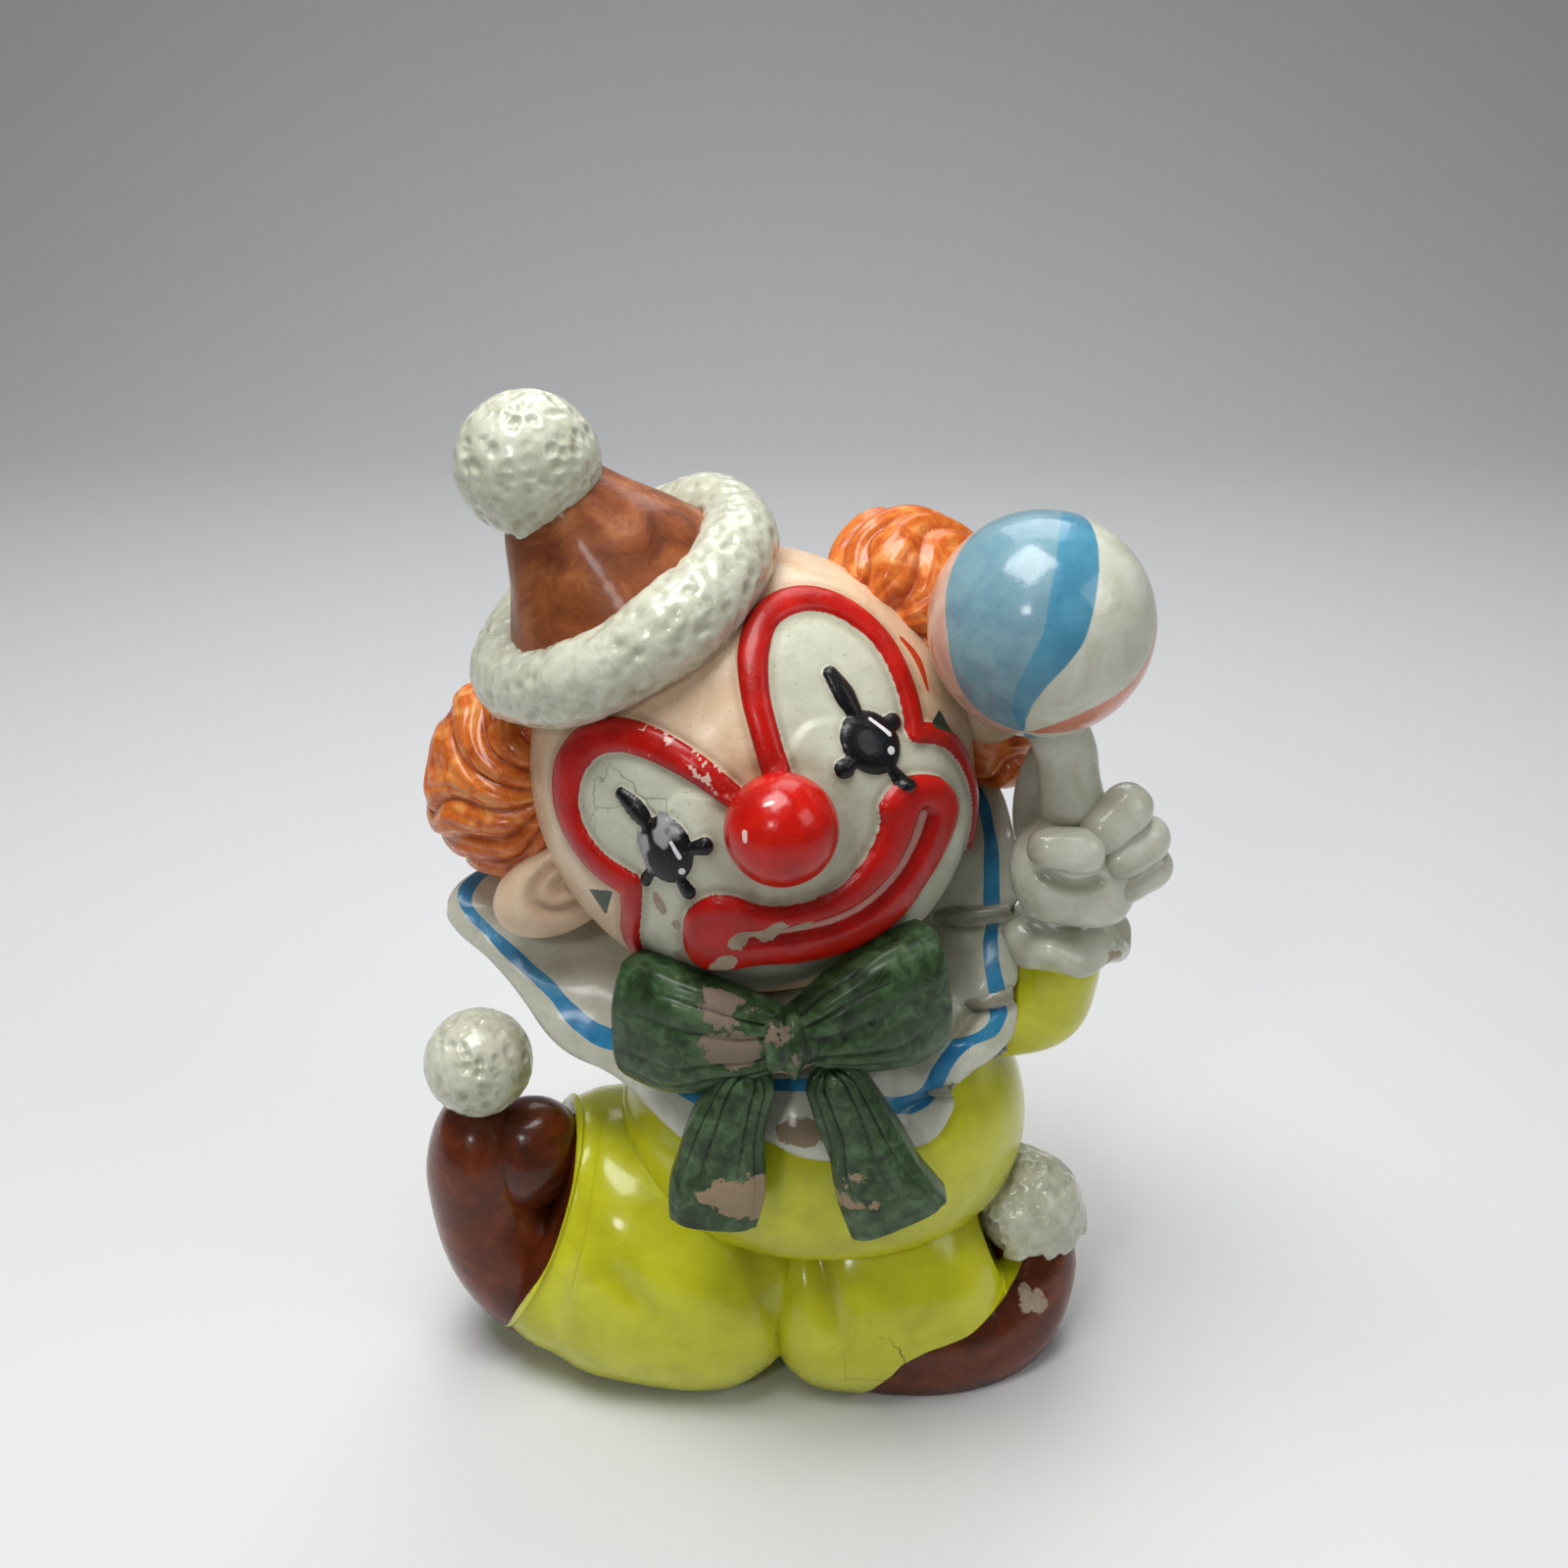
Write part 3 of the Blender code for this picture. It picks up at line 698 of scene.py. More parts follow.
@dataclass
class Face:
    """What is drawn on the face's plane, in millimetres across and up from the head's middle."""

    flat: Array
    patch_right: tuple[Station, ...] = (
        (3.2, -3.4, 2.2), (5.0, 5.0, 2.2), (6.6, 10.6, 2.3), (9.4, 16.2, 2.5), (13.6, 20.2, 2.5),
        (19.2, 20.6, 2.4), (24.0, 17.8, 2.1), (27.4, 12.6, 1.8), (28.9, 6.4, 1.6), (28.2, -1.2, 1.6),
        (26.2, -7.6, 1.7),
    )
    cheek_right: tuple[Station, ...] = (
        (26.2, -7.6, 1.7), (28.6, -8.8, 1.8), (31.2, -11.8, 1.7), (32.0, -17.6, 1.3), (30.6, -24.1, 1.1),
        (26.6, -29.4, 0.6),
    )
    patch_left: tuple[Station, ...] = (
        (-4.0, -3.4, 1.8), (-7.6, 4.2, 2.3), (-11.6, 10.3, 2.6), (-15.8, 14.4, 2.8), (-20.6, 16.0, 3.0),
        (-25.2, 14.6, 3.0), (-28.2, 11.4, 2.6), (-30.0, 7.2, 2.2), (-30.2, 2.4, 2.0), (-29.0, -2.6, 2.1),
        (-26.0, -7.8, 2.2),
    )
    cheek_left: tuple[Station, ...] = (
        (-26.0, -7.8, 2.2), (-28.0, -11.2, 2.0), (-30.6, -15.0, 1.9), (-31.6, -20.0, 1.5), (-31.0, -25.5, 1.2),
        (-27.4, -29.8, 0.6),
    )
    muzzle: tuple[Station, ...] = (
        (-25.5, -9.0), (-30.0, -13.5), (-31.4, -19.0), (-30.6, -25.5), (-26.0, -30.0), (-19.2, -33.5),
        (-12.0, -35.6), (-5.3, -37.0), (2.0, -38.0), (8.1, -38.4), (15.0, -37.5), (22.0, -33.8),
        (28.6, -27.5), (31.6, -20.0), (31.0, -12.6), (26.5, -8.4), (22.0, -4.0), (12.0, 2.0), (3.0, -2.0),
        (-4.0, -2.4), (-12.0, 2.0), (-20.0, -3.0),
    )
    smile: tuple[Station, ...] = (
        (-21.0, -17.4), (-18.4, -14.6), (-14.2, -14.2), (-10.8, -16.2), (-7.8, -19.4), (-2.4, -21.8),
        (3.6, -22.2), (9.2, -20.2), (13.2, -17.0), (15.0, -13.8), (19.8, -12.2), (25.2, -14.8),
        (26.6, -19.6), (24.0, -23.2), (20.2, -26.0), (16.0, -28.5), (9.2, -31.9), (1.1, -32.8),
        (-6.9, -30.6), (-13.0, -27.6), (-17.6, -26.2), (-21.2, -24.0), (-22.2, -20.6),
    )
    lips: tuple[Station, ...] = (
        (20.0, -18.6, 0.8), (17.0, -21.4, 0.75), (12.2, -24.6, 0.65), (5.4, -26.5, 0.65), (-2.0, -25.8, 0.6),
        (-12.6, -22.0, 0.5),
    )

    def areas(self) -> dict[str, Array]:
        """How far each point is inside each painted area, and the relief that goes with it."""
        flat = self.flat
        red_r, share_r, _ = band(flat, self.patch_right)
        cheek_r, share_cr, _ = band(flat, self.cheek_right)
        red_l, share_l, _ = band(flat, self.patch_left)
        cheek_l, share_cl, _ = band(flat, self.cheek_left)
        smile = inside(flat, list(self.smile))
        lips, _, _ = band(flat, self.lips)
        muzzle = inside(flat, self.muzzle)
        white = np.maximum.reduce([
            muzzle,
            inside(flat, [s[:2] for s in self.patch_right] + [(16.0, -10.0)]),
            inside(flat, [s[:2] for s in self.patch_left] + [(-16.0, -10.0)]),
        ])
        rims = np.maximum.reduce([red_r, cheek_r, red_l, cheek_l])
        rim_share = np.minimum.reduce([share_r, share_cr, share_l, share_cl])
        black = self.eyes(flat)
        areas = {
            "white": white, "lines": np.maximum(rims, smile), "grooves": lips - 0.15, "black": black,
            "rims": rims, "rim_share": rim_share, "smile": smile, "lips": lips, "muzzle": muzzle,
        }
        spots = np.column_stack([flat, np.zeros(len(flat))])
        scratch = np.abs(lumps(spots * np.array([1.0, 0.35, 1.0]), 1.3, 7)) < 0.12
        place = np.maximum(2.6 - np.hypot((flat[:, 0] + 10.5) * 0.5, flat[:, 1] - 11.5),
                           2.4 - np.hypot((flat[:, 0] + 5.5) * 0.8, (flat[:, 1] - 4.0) * 0.5))
        areas["scuffs"] = np.where(scratch | (lumps(spots, 0.9, 3) > 0.62), place * 0.4, -1.0)
        areas["haze"] = self.haze(flat, black)
        areas["glints"] = self.glints(flat)
        areas["leaves"] = np.maximum(
            inside(flat, [(-33.6, -5.0), (-29.6, -7.2), (-33.4, -10.4)], rounded=False),
            inside(flat, [(32.3, -6.0), (28.8, -8.0), (32.6, -11.2)], rounded=False))
        areas["strokes"] = band(flat, [(32.2, 7.6, 0.3), (33.0, 3.0, 0.6), (32.0, -2.4, 0.2)])[0]
        # painted shade round the foot of the raised rims, smile, lips and eyes and round the nose, darker
        # towards the chin, with the antique wash
        areas["wash_and_shade"] = np.clip(
            bell(rims, -0.6, 0.7) * 0.5 + bell(smile, -0.6, 0.8) * 0.55 + bell(lips, 0.0, 0.6) * 0.5
            + bell(black, -0.3, 0.6) * 0.3
            + bell(np.hypot(flat[:, 0] - 0.2, flat[:, 1] + 11.0), 10.5, 2.2) * 0.5
            + step(-8, -24, flat[:, 1]) * 0.10, 0, 1)
        areas["craze"] = step(9, 5, np.hypot(flat[:, 0] + 20.0, flat[:, 1] - 4.0)) * 0.45
        areas["wear"] = self.wear(flat)
        return areas

    def eyes(self, flat: Array) -> Array:
        """The black of both eyes: a ball, a long upper lash and three stubs."""
        def ball(x: float, y: float, rx: float, ry: float) -> Array:
            far = np.hypot((flat[:, 0] - x) / rx, (flat[:, 1] - y) / ry)
            return (1 - far) * min(rx, ry)
        marks = [ball(18.4, -5.2, 4.7, 5.2), ball(-17.3, -5.0, 4.4, 5.2)]
        for line in (
            [(18.7, -1.5, 1.1), (18.7, 3.0, 1.7), (18.3, 7.2, 1.2)],
            [(21.5, -3.8, 0.9), (23.6, -4.2, 1.5)], [(14.5, -6.2, 0.9), (12.6, -6.8, 1.6)],
            [(18.9, -9.5, 0.9), (19.4, -12.6, 1.3)],
            [(-18.4, -1.0, 0.9), (-18.9, 2.5, 1.6), (-19.9, 6.0, 1.0)],
            [(-14.0, -6.4, 0.8), (-11.4, -7.2, 1.4)], [(-17.3, -9.0, 0.8), (-17.0, -12.2, 1.2)],
            [(-20.5, -6.6, 0.7), (-22.8, -7.8, 1.1)],
        ):
            marks.append(band(flat, line, 12)[0])
        return np.maximum.reduce(marks)

    @staticmethod
    def haze(flat: Array, black: Array) -> Array:
        """The scuffed grey over the clown's own right eye."""
        spots = np.column_stack([flat, np.zeros(len(flat))])
        patch = 3.4 - np.hypot((flat[:, 0] + 17.4) * 0.75, (flat[:, 1] + 2.6) * 0.85)
        streaks = lumps(spots * np.array([1.0, 0.5, 1.0]), 1.4, 5) * 1.5 + lumps(spots, 3.0, 2) * 1.1
        return np.where(black > -0.6, patch * 0.3 + streaks - 0.75, -5.0)

    @staticmethod
    def glints(flat: Array) -> Array:
        """Painted highlights: the small white strokes and dots in the eyes."""
        marks = [0.65 - np.hypot(flat[:, 0] - 20.0, flat[:, 1] + 7.6),
                 0.55 - np.hypot(flat[:, 0] + 16.0, flat[:, 1] + 8.8)]
        marks.append(band(flat, [(20.0, -2.0, 0.3), (21.2, -5.4, 0.4)], 8)[0])
        marks.append(band(flat, [(-15.4, -4.2, 0.25), (-15.2, -6.8, 0.35)], 8)[0])
        return np.maximum.reduce(marks)

    @staticmethod
    def wear(flat: Array) -> Array:
        """Where paint is lost: on the lower lip, beside the smile's left end and on one eye rim."""
        def worn(x: float, y: float, rx: float, ry: float, top: float) -> Array:
            return top * np.clip(1.2 - np.hypot((flat[:, 0] - x) / rx, (flat[:, 1] - y) / ry), 0, 1)
        spots = [worn(-13.0, -21.6, 3.0, 1.9, 0.92), worn(-8.3, -23.0, 3.9, 2.1, 0.95),
                 worn(-3.8, -24.6, 3.0, 1.5, 0.9), worn(-17.2, -23.9, 3.2, 2.3, 0.9),
                 worn(-23.2, -21.4, 2.4, 2.5, 0.9), worn(-21.6, -16.2, 1.2, 1.4, 0.8),
                 worn(-22.5, -12.0, 1.4, 3.0, 0.8), worn(-4.0, -31.6, 3.0, 1.1, 0.7)]
        return np.maximum.reduce(spots)

    @staticmethod
    def relief(areas: dict[str, Array]) -> Array:
        """How far the surface stands out at each point."""
        rims = np.sqrt(np.clip(1 - areas["rim_share"] ** 2, 0, 1)) * 1.25
        mouth = np.sqrt(np.clip(1 - (1 - np.clip(areas["smile"] / 2.6, 0, 1)) ** 2, 0, 1)) * 2.1
        groove = np.clip(1 - (np.clip(-areas["lips"], 0, 1.2) / 1.2), 0, 1) ** 1.5 * 1.5
        black = np.sqrt(np.clip(1 - (1 - np.clip(areas["black"] / 4.2, 0, 1)) ** 2, 0, 1)) * 1.5
        cheeks = step(0, 9, areas["muzzle"]) * 1.3 + step(-0.5, 1.5, areas["muzzle"]) * 0.6
        return np.maximum(rims, mouth) - np.where(areas["smile"] > 0, groove, 0) + black + cheeks


# ---- hat and hair ------------------------------------------------


@dataclass
class Hat:
    """A cone crown in a rolled fleece brim, with a pompom on its tip."""

    base: Array = field(default_factory=lambda: np.array([-27.0, -4.0, 152.0]))
    axis: Array = field(default_factory=lambda: unit(np.array([-0.503, -0.137, 0.855])))
    brim_radius: float = 22.5
    brim_thickness: float = 7.0
    pompom_height: float = 28.5
    pompom_radius: float = 12.2

    def frame_of(self) -> Array:
        """Columns across, deep and up for things that sit on the hat's axis."""
        return np.array(Vector(self.axis).to_track_quat("Z", "Y").to_matrix())

    def build(self) -> None:
        """Models and paints the three pieces."""
        self.build_brim()
        self.build_crown()
        tip = self.base + self.axis * self.pompom_height
        Pompom("hat_bobble", tip, self.pompom_radius, seed=3, drip=2.6).build("hat_pompom")

    def build_brim(self) -> None:
        """The brim: a ring whose surface is pressed all over with small dents."""
        clay = Clay.ring("hat_fleece_brim", 420, 96)
        ring = clay.raw()
        around = np.arctan2(ring[:, 1], ring[:, 0])
        radial = np.hypot(ring[:, 0], ring[:, 1]) - 1.0
        section = np.arctan2(ring[:, 2], radial)
        thick = self.brim_thickness * (1.0 + 0.05 * np.sin(3 * around + 1.0) + 0.04 * np.sin(7 * around))
        far = self.brim_radius + thick * np.cos(section)
        local = np.column_stack([far * np.cos(around), far * np.sin(around), thick * np.sin(section)])
        clay.move_to(self.base + local @ self.frame_of().T)
        dent = fleece(clay, 2.7, 0.95, seed=2)
        # painted shade on the brim's inner side against the crown, and in the stipple dents with the wash
        clay.note("wash_and_shade", np.clip(dent * 0.55 + step(-0.2, -0.9, np.cos(section)) * 0.5, 0, 1))
        clay.finish(FLEECE.material(), Slot.WHITE, "hat_brim")

    def build_crown(self) -> None:
        """The crown: a cone with a few soft folds."""
        rises = ((-6, 22), (1, 21.5), (6, 19.0), (11, 16.0), (16, 12.5), (21, 9.4), (24, 7.6))
        form = Form("hat_cone", [(*(self.base + self.axis * rise), size, size) for rise, size in rises],
                    ends=(0.1, 0.1), segments=220, rings=150)
        clay = form.build()
        fold = 0.4 * np.sin(form.angle * 3.0 + 1.9 + 2.0 * form.t) * step(1.0, 0.55, form.t)
        lump = lumps(clay.spots(), 11.0, 4) * 0.6 + lumps(clay.spots(), 5.0, 5) * 0.15
        clay.swell(fold * step(0.05, 0.3, form.t) + lump)
        # painted shade at the cone's foot inside the brim and in the folds' hollows
        clay.note("wash_and_shade", np.clip(-fold, 0, 1) * 0.35 + step(0.3, 0.15, form.t) * 0.5)
        clay.finish(FELT.material(), Slot.BROWN, "hat_crown")


def fleece(clay: Clay, size: float, depth: float, seed: int) -> Array:
    """Presses a piece all over with the dents of a stippling tool.

    Args:
        clay: the piece.
        size: millimetres from dent to dent.
        depth: how deep they are.
        seed: which scatter of dents.

    Returns:
        How deep in a dent each point is, 0 to 1.
    """
    spots = clay.spots()
    pushed = spots + 0.5 * np.column_stack([lumps(spots, size * 1.3, seed + k) for k in (5, 6, 7)])
    near = pits(pushed, size, seed)
    uneven = 0.55 + 0.45 * lumps(spots, size * 1.9, seed + 9)
    dent = step(0.60, 0.10, near) * uneven
    grain = lumps(spots, size * 0.5, seed + 1) * 0.10 + lumps(spots, size * 2.6, seed + 2) * 0.22
    clay.swell((-1.15 * dent + grain) * depth)
    return dent


@dataclass
class Pompom:
    """A ball of wool in clay, stippled all over."""

    name: str
    centre: Array
    radius: float
    seed: int
    drip: float = 0.0

    def build(self, node: str) -> Clay:
        """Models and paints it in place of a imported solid."""
        clay = egg(self.name, tuple(self.centre), (self.radius - 0.3,) * 3, segments=230, rings=150)
        spots = clay.spots()
        drip = self.centre + self.radius * unit(np.array([0.05, -0.42, -0.91]))
        clay.swell(self.drip * blob(spots, drip, 3.0))
        dent = fleece(clay, 2.7, 0.85, self.seed)
        spots = clay.spots()
        # painted shade on the pompom's underside, and wash with shade in the stipple dents
        under = step(0.2, -0.9, (spots[:, 2] - self.centre[2]) / self.radius)
        clay.note("wash_and_shade", np.clip(dent * 0.3 + under * 0.4, 0, 1))
        clay.finish(FLEECE.material(), Slot.WHITE, node)
        return clay


@dataclass
class Hair:
    """Tufts of hair at the sides and a cap of it behind, combed in waves."""

    def build(self) -> None:
        """Models and paints the tufts."""
        paint = ORANGE.material()
        left = egg("hair_tuft_left", (-48, 5, 114), (17, 14, 20), segments=240, rings=170)
        self.comb(left, np.array([-36.0, -4.0, 118.0]), waves=9, seed=1)
        left.finish(paint, Slot.ORANGE, "hair_left")
        right = Form("hair_tuft_right", [(8, 9, 150, 10, 11), (22, 9, 149, 14, 14), (33, 9, 138, 12, 13),
                                         (38, 9, 124, 10, 10), (39, 7, 113, 7, 8)],
                     ends=(0.15, 0.12), segments=220, rings=200).build()
        self.comb(right, np.array([14.0, -2.0, 136.0]), waves=10, seed=2)
        right.finish(paint, Slot.ORANGE, "hair_right")
        back = egg("hair_cap_behind", (-5, 13, 121), (38, 28, 33), segments=300, rings=200)
        self.comb(back, np.array([-14.0, 40.0, 146.0]), waves=16, seed=3)
        back.finish(paint, Slot.ORANGE, "hair_back")

    @staticmethod
    def comb(clay: Clay, root: Array, waves: int, seed: int) -> None:
        """Cuts locks that run away from a root, and keeps their grooves for the wash and its painted shade."""
        spots = clay.spots()
        way = spots - root
        turn = np.arctan2(way[:, 2], way[:, 0]) + 0.35 * lumps(spots, 16.0, seed)
        far = np.linalg.norm(way, axis=1)
        phase = turn * waves + far * 0.10 + lumps(spots, 7.0, seed + 4) * 0.9
        apart = np.hypot(way[:, 0], way[:, 2]) / waves
        calm, calmer = step(0.3, 1.1, apart), step(0.6, 1.7, apart)
        lock = 0.6 + (np.abs(np.sin(phase)) - 0.6) * calm
        fine = 0.6 + (np.abs(np.sin(phase * 3.1 + far * 0.4)) - 0.6) * calmer
        clay.swell(lock * 1.5 + fine * 0.35 + lumps(spots, 10.0, seed + 7) * 0.9 - 0.9)
        # the grooves between locks darkened: antique wash and painted shade
        clay.note("wash_and_shade", np.clip(step(0.45, 0.0, lock) * 0.9 + step(0.3, 0.0, fine) * 0.3, 0, 1))


# ---- collar ------------------------------------------------------


@dataclass
class Collar:
    """The ruffled cape collar with its painted stripe."""

    rim: tuple[Station, ...] = (
        (3, -40, 66), (16, -38, 64.2), (27, -33, 64), (33, -28, 75), (41, -19, 74), (42, -14, 87),
        (43, -9, 96), (42, -4, 109), (38, 6, 115), (28, 20, 104), (14, 30, 92), (-4, 34, 88),
        (-24, 30, 90), (-42, 22, 93), (-58, 10, 95), (-63, 1.5, 91), (-56.5, -5, 85), (-47, -12, 78),
        (-39, -18, 72), (-29.5, -25, 70), (-16, -35, 65.5), (-6, -38, 67.5),
    )
    neck: Array = field(default_factory=lambda: np.array([1.0, -1.0, 82.0]))
    neck_radius: float = 13.0
    thickness: float = 4.4
    around: Array = field(default=None, repr=False)
    out: Array = field(default=None, repr=False)
    top: Array = field(default=None, repr=False)
    length: Array = field(default=None, repr=False)

    def build(self) -> None:
        """Models the collar as a pressed slab with a rounded edge, then paints it."""
        clay = Clay.ring("collar_cape", 720, 120)
        ring = clay.raw()
        around = (np.arctan2(ring[:, 1], ring[:, 0]) / math.tau) % 1.0
        section = np.arctan2(ring[:, 2], np.hypot(ring[:, 0], ring[:, 1]) - 1.0) / math.pi
        out = 1.0 - np.abs(section)
        out = 0.5 - 0.5 * np.cos(out * math.pi) * 0.35 + (out - 0.5) * 0.65
        lip = np.clip((out - 0.93) / 0.07, 0, 1)
        top = np.where(section > 0, 1.0, -1.0) * np.sqrt(np.clip(1 - lip**2, 0, 1))
        edge = along(list(self.rim), around, closed=True)
        angle = np.arctan2(edge[:, 1] - self.neck[1], edge[:, 0] - self.neck[0])
        ways = np.column_stack([np.cos(angle), np.sin(angle), np.zeros(len(angle))])
        root = self.neck + ways * self.neck_radius
        shoulder = root + (edge - root) * 0.62
        shoulder[:, 2] = np.maximum(root[:, 2], edge[:, 2]) * 0.55 + (root[:, 2] + edge[:, 2]) * 0.225 + 3.0
        t = out[:, None]
        spot = root * (1 - t) ** 2 + shoulder * 2 * t * (1 - t) + edge * t * t
        drop = (1 - top) / 2 * self.thickness
        inward = unit(self.neck - spot)
        self.around, self.out, self.top = around, out, section > 0
        self.length = np.linalg.norm(edge - root, axis=1) * 1.05
        clay.move_to(spot + inward * (drop * 0.2)[:, None] - np.array([0, 0, 1.0]) * drop[:, None])
        if self.inside_out(clay):
            clay.piece.data.flip_normals()
        self.dress(clay)

    @staticmethod
    def inside_out(clay: Clay) -> bool:
        """Whether the faces on top look down."""
        spots, ways = clay.spots(), clay.normals()
        return bool(ways[np.argmax(spots[:, 2])][2] < 0)

    def dress(self, clay: Clay) -> None:
        """Presses the ruffles and marks the stripe."""
        spots = clay.spots()
        near = np.zeros(len(spots))
        for x, y, z, size, high in ((31, -17, 80, 11, 6.5), (38, -14, 84, 8, 2.0)):
            near += high * blob(spots, (x, y, z), size**2)
        spots += near[:, None] * unit(np.array([0.1, -1.0, 0.35]))
        clay.move_to(spots)
        right = step(18, 30, spots[:, 0])
        ruffle = np.sin(self.around * math.tau * 9 + 0.6) * (1 - right) * 0.8 * step(0.35, 0.95, self.out)
        for height in (93.5, 82.0, 71.5):
            fold = bell(spots[:, 2] - 0.22 * spots[:, 0], height - 8.0, 1.3)
            ruffle -= 2.5 * fold * right * step(0.3, 0.6, self.out)
        clay.swell(ruffle + lumps(spots, 9.0, 9) * 0.3)
        bib = bell(spots[:, 0], 4.0, 13.0) * step(-28, -36, spots[:, 1])
        reach = (5.2 + 3.0 * right * step(80, 92, spots[:, 2]) + 1.4 * right * step(80, 72, spots[:, 2])
                 + 6.0 * bib)
        width = 1.85 + 0.25 * np.sin(self.around * 70) + 0.1 * np.sin(self.around * 190)
        from_edge = (1.0 - self.out) * self.length
        stripe = width - np.abs(from_edge - reach - 0.5 * np.sin(self.around * 44))
        clay.note("stripe", np.where(self.top, stripe, -3.0))
        # painted shade in the ruffle grooves and on the collar's inner part under the head, with the wash
        clay.note("wash_and_shade", np.clip(step(-0.3, -1.6, ruffle) * 0.8 + step(0.75, 0.35, self.out) * 0.2, 0, 1))
        wear = 0.78 * np.clip(1.3 - np.hypot((spots[:, 0] - 3) / 8, (spots[:, 2] - 67.5) / 3.2), 0, 1)
        clay.note("wear", np.where(spots[:, 1] < -30, wear, 0))
        paint = replace(WHITE, name="collar white on bisque", contrast=0.3, gloss=0.27, speck=0.55, coat=0.3,
                        bisque="#9a8768", layers=(Layer("stripe", "#3a93c0", shade="#2479ab"),))
        clay.finish(paint.material(), Slot.WHITE, "collar")


# ---- body and trousers -------------------------------------------


@dataclass
class Body:
    """The round belly and the baggy trousers."""

    def build(self) -> None:
        """Models and paints the belly and both legs."""
        paint = YELLOW.material()
        belly = Form("belly_casting", [
            (7.5, -3, 30, 34, 27), (7.5, -4, 44, 39, 33), (7.5, -4, 56, 38, 33), (5.5, -3, 70, 29, 26),
            (1, -2, 83, 15, 14)], segments=210, rings=120)
        clay = belly.build()
        spots = clay.spots()
        fold = bell(spots[:, 0], 40, 7) * bell(spots[:, 2], 66, 7) * 1.2
        clay.swell(lumps(spots, 24.0, 2) * 0.6 - fold)
        # painted shade: a band just under the collar's edge, and the belly darker towards its bottom
        under_collar_shade = step(34, 27, np.abs(spots[:, 2] - 68) + 24)
        clay.note("wash_and_shade", under_collar_shade * 0.1 + step(47, 38, spots[:, 2]) * 0.35)
        clay.finish(paint, Slot.YELLOW, "torso")
        self.build_left_leg()
        self.build_right_leg(paint)

    @staticmethod
    def flatten(clay: Clay) -> None:
        """Presses everything below the floor up to it."""
        spots = clay.spots()
        spots[:, 2] = np.maximum(spots[:, 2], 0.0)
        clay.move_to(spots)

    def build_left_leg(self) -> None:
        """The leg whose shoe is kicked up: a bag that opens to the left in a hem."""
        form = Form("trouser_bag_left", [
            (6, -3, 15, 20, 26), (-12, -6, 18, 27.5, 31), (-30, -7, 21, 28, 29.5),
            (-42, -7, 23.5, 26.5, 25), (-49.5, -8, 26.5, 23.5, 20)], ends=(0.25, 0.03),
                    segments=300, rings=180)
        clay = form.build()
        spots = clay.spots()
        crease = (bell(spots[:, 0] + 0.35 * spots[:, 2], 6.0, 2.6) * step(5, 14, spots[:, 2]) * 1.4
                  + bell(spots[:, 0] + 0.9 * spots[:, 2], -2.0, 4.0) * bell(spots[:, 2], 30, 9) * 0.8)
        hem = bell(spots[:, 0], -44, 3.5) * 1.2
        swirl = np.sin(form.angle * 3 + 0.8) * bell(spots[:, 0], -49, 9) * 1.3
        lip = bell(form.t, 0.962, 0.010) * 0.7
        clay.swell(lumps(spots, 20.0, 5) * 0.9 - crease - hem * 0.5 + swirl + lip)
        self.flatten(clay)
        # painted shade in the creases and where the leg meets the floor
        clay.note("wash_and_shade", np.clip(crease * 0.35 + step(6, 1, spots[:, 2]) * 0.35, 0, 1))
        clay.note("ankle", (form.t - 0.974) * 90.0)
        hemmed = replace(YELLOW, name="yellow trouser with brown ankle", contrast=0.2, speck=0.14,
                         layers=(Layer("ankle", BROWN.colour, shade=BROWN.shade, wobble=0.2),))
        clay.finish(hemmed.material(), Slot.YELLOW, "trouser_leg_left")

    def build_right_leg(self, paint: bpy.types.Material) -> None:
        """The standing leg, which spreads over its shoe."""
        form = Form("trouser_bag_right", [
            (-2, -3, 14, 21, 27), (14, -6, 16, 26, 31), (30, -6, 18, 25, 28),
            (43.5, -4, 21, 20, 18)], ends=(0.25, 0.12), segments=240, rings=155)
        clay = form.build()
        spots = clay.spots()
        wedge = bell(spots[:, 0] - 0.25 * (40 - spots[:, 2]), 4.5, 2.4) * bell(spots[:, 2], 28, 9) * 1.8
        dip = bell(spots[:, 0], 27, 6) * bell(spots[:, 2], 14, 7) * 1.2
        room = blob(spots, (48.0, -16.0, 33.0), 150.0) * 7.0
        clay.swell(lumps(spots, 18.0, 6) * 0.9 - wedge - dip - room)
        spots = clay.spots()
        spots[:, 2] = np.maximum(spots[:, 2], self.hem_height(spots[:, 0]))
        clay.move_to(spots)
        # painted shade in the crease and where the leg meets the floor
        clay.note("wash_and_shade", np.clip(wedge * 0.3 + step(5, 1, spots[:, 2]) * 0.35, 0, 1))
        near = step(12, 6, np.hypot(spots[:, 0] - 20, spots[:, 2] - 10))
        clay.note("craze", near * (spots[:, 1] < -10) * 0.9)
        clay.finish(paint, Slot.YELLOW, "trouser_leg_right")

    @staticmethod
    def hem_height(x: Array) -> Array:
        """How high the right leg's hem hangs above the floor."""
        return np.interp(x, [12, 15, 18, 22, 27, 35, 42, 46], [0, 0.5, 6, 12, 14.5, 17.5, 21.5, 25.5])


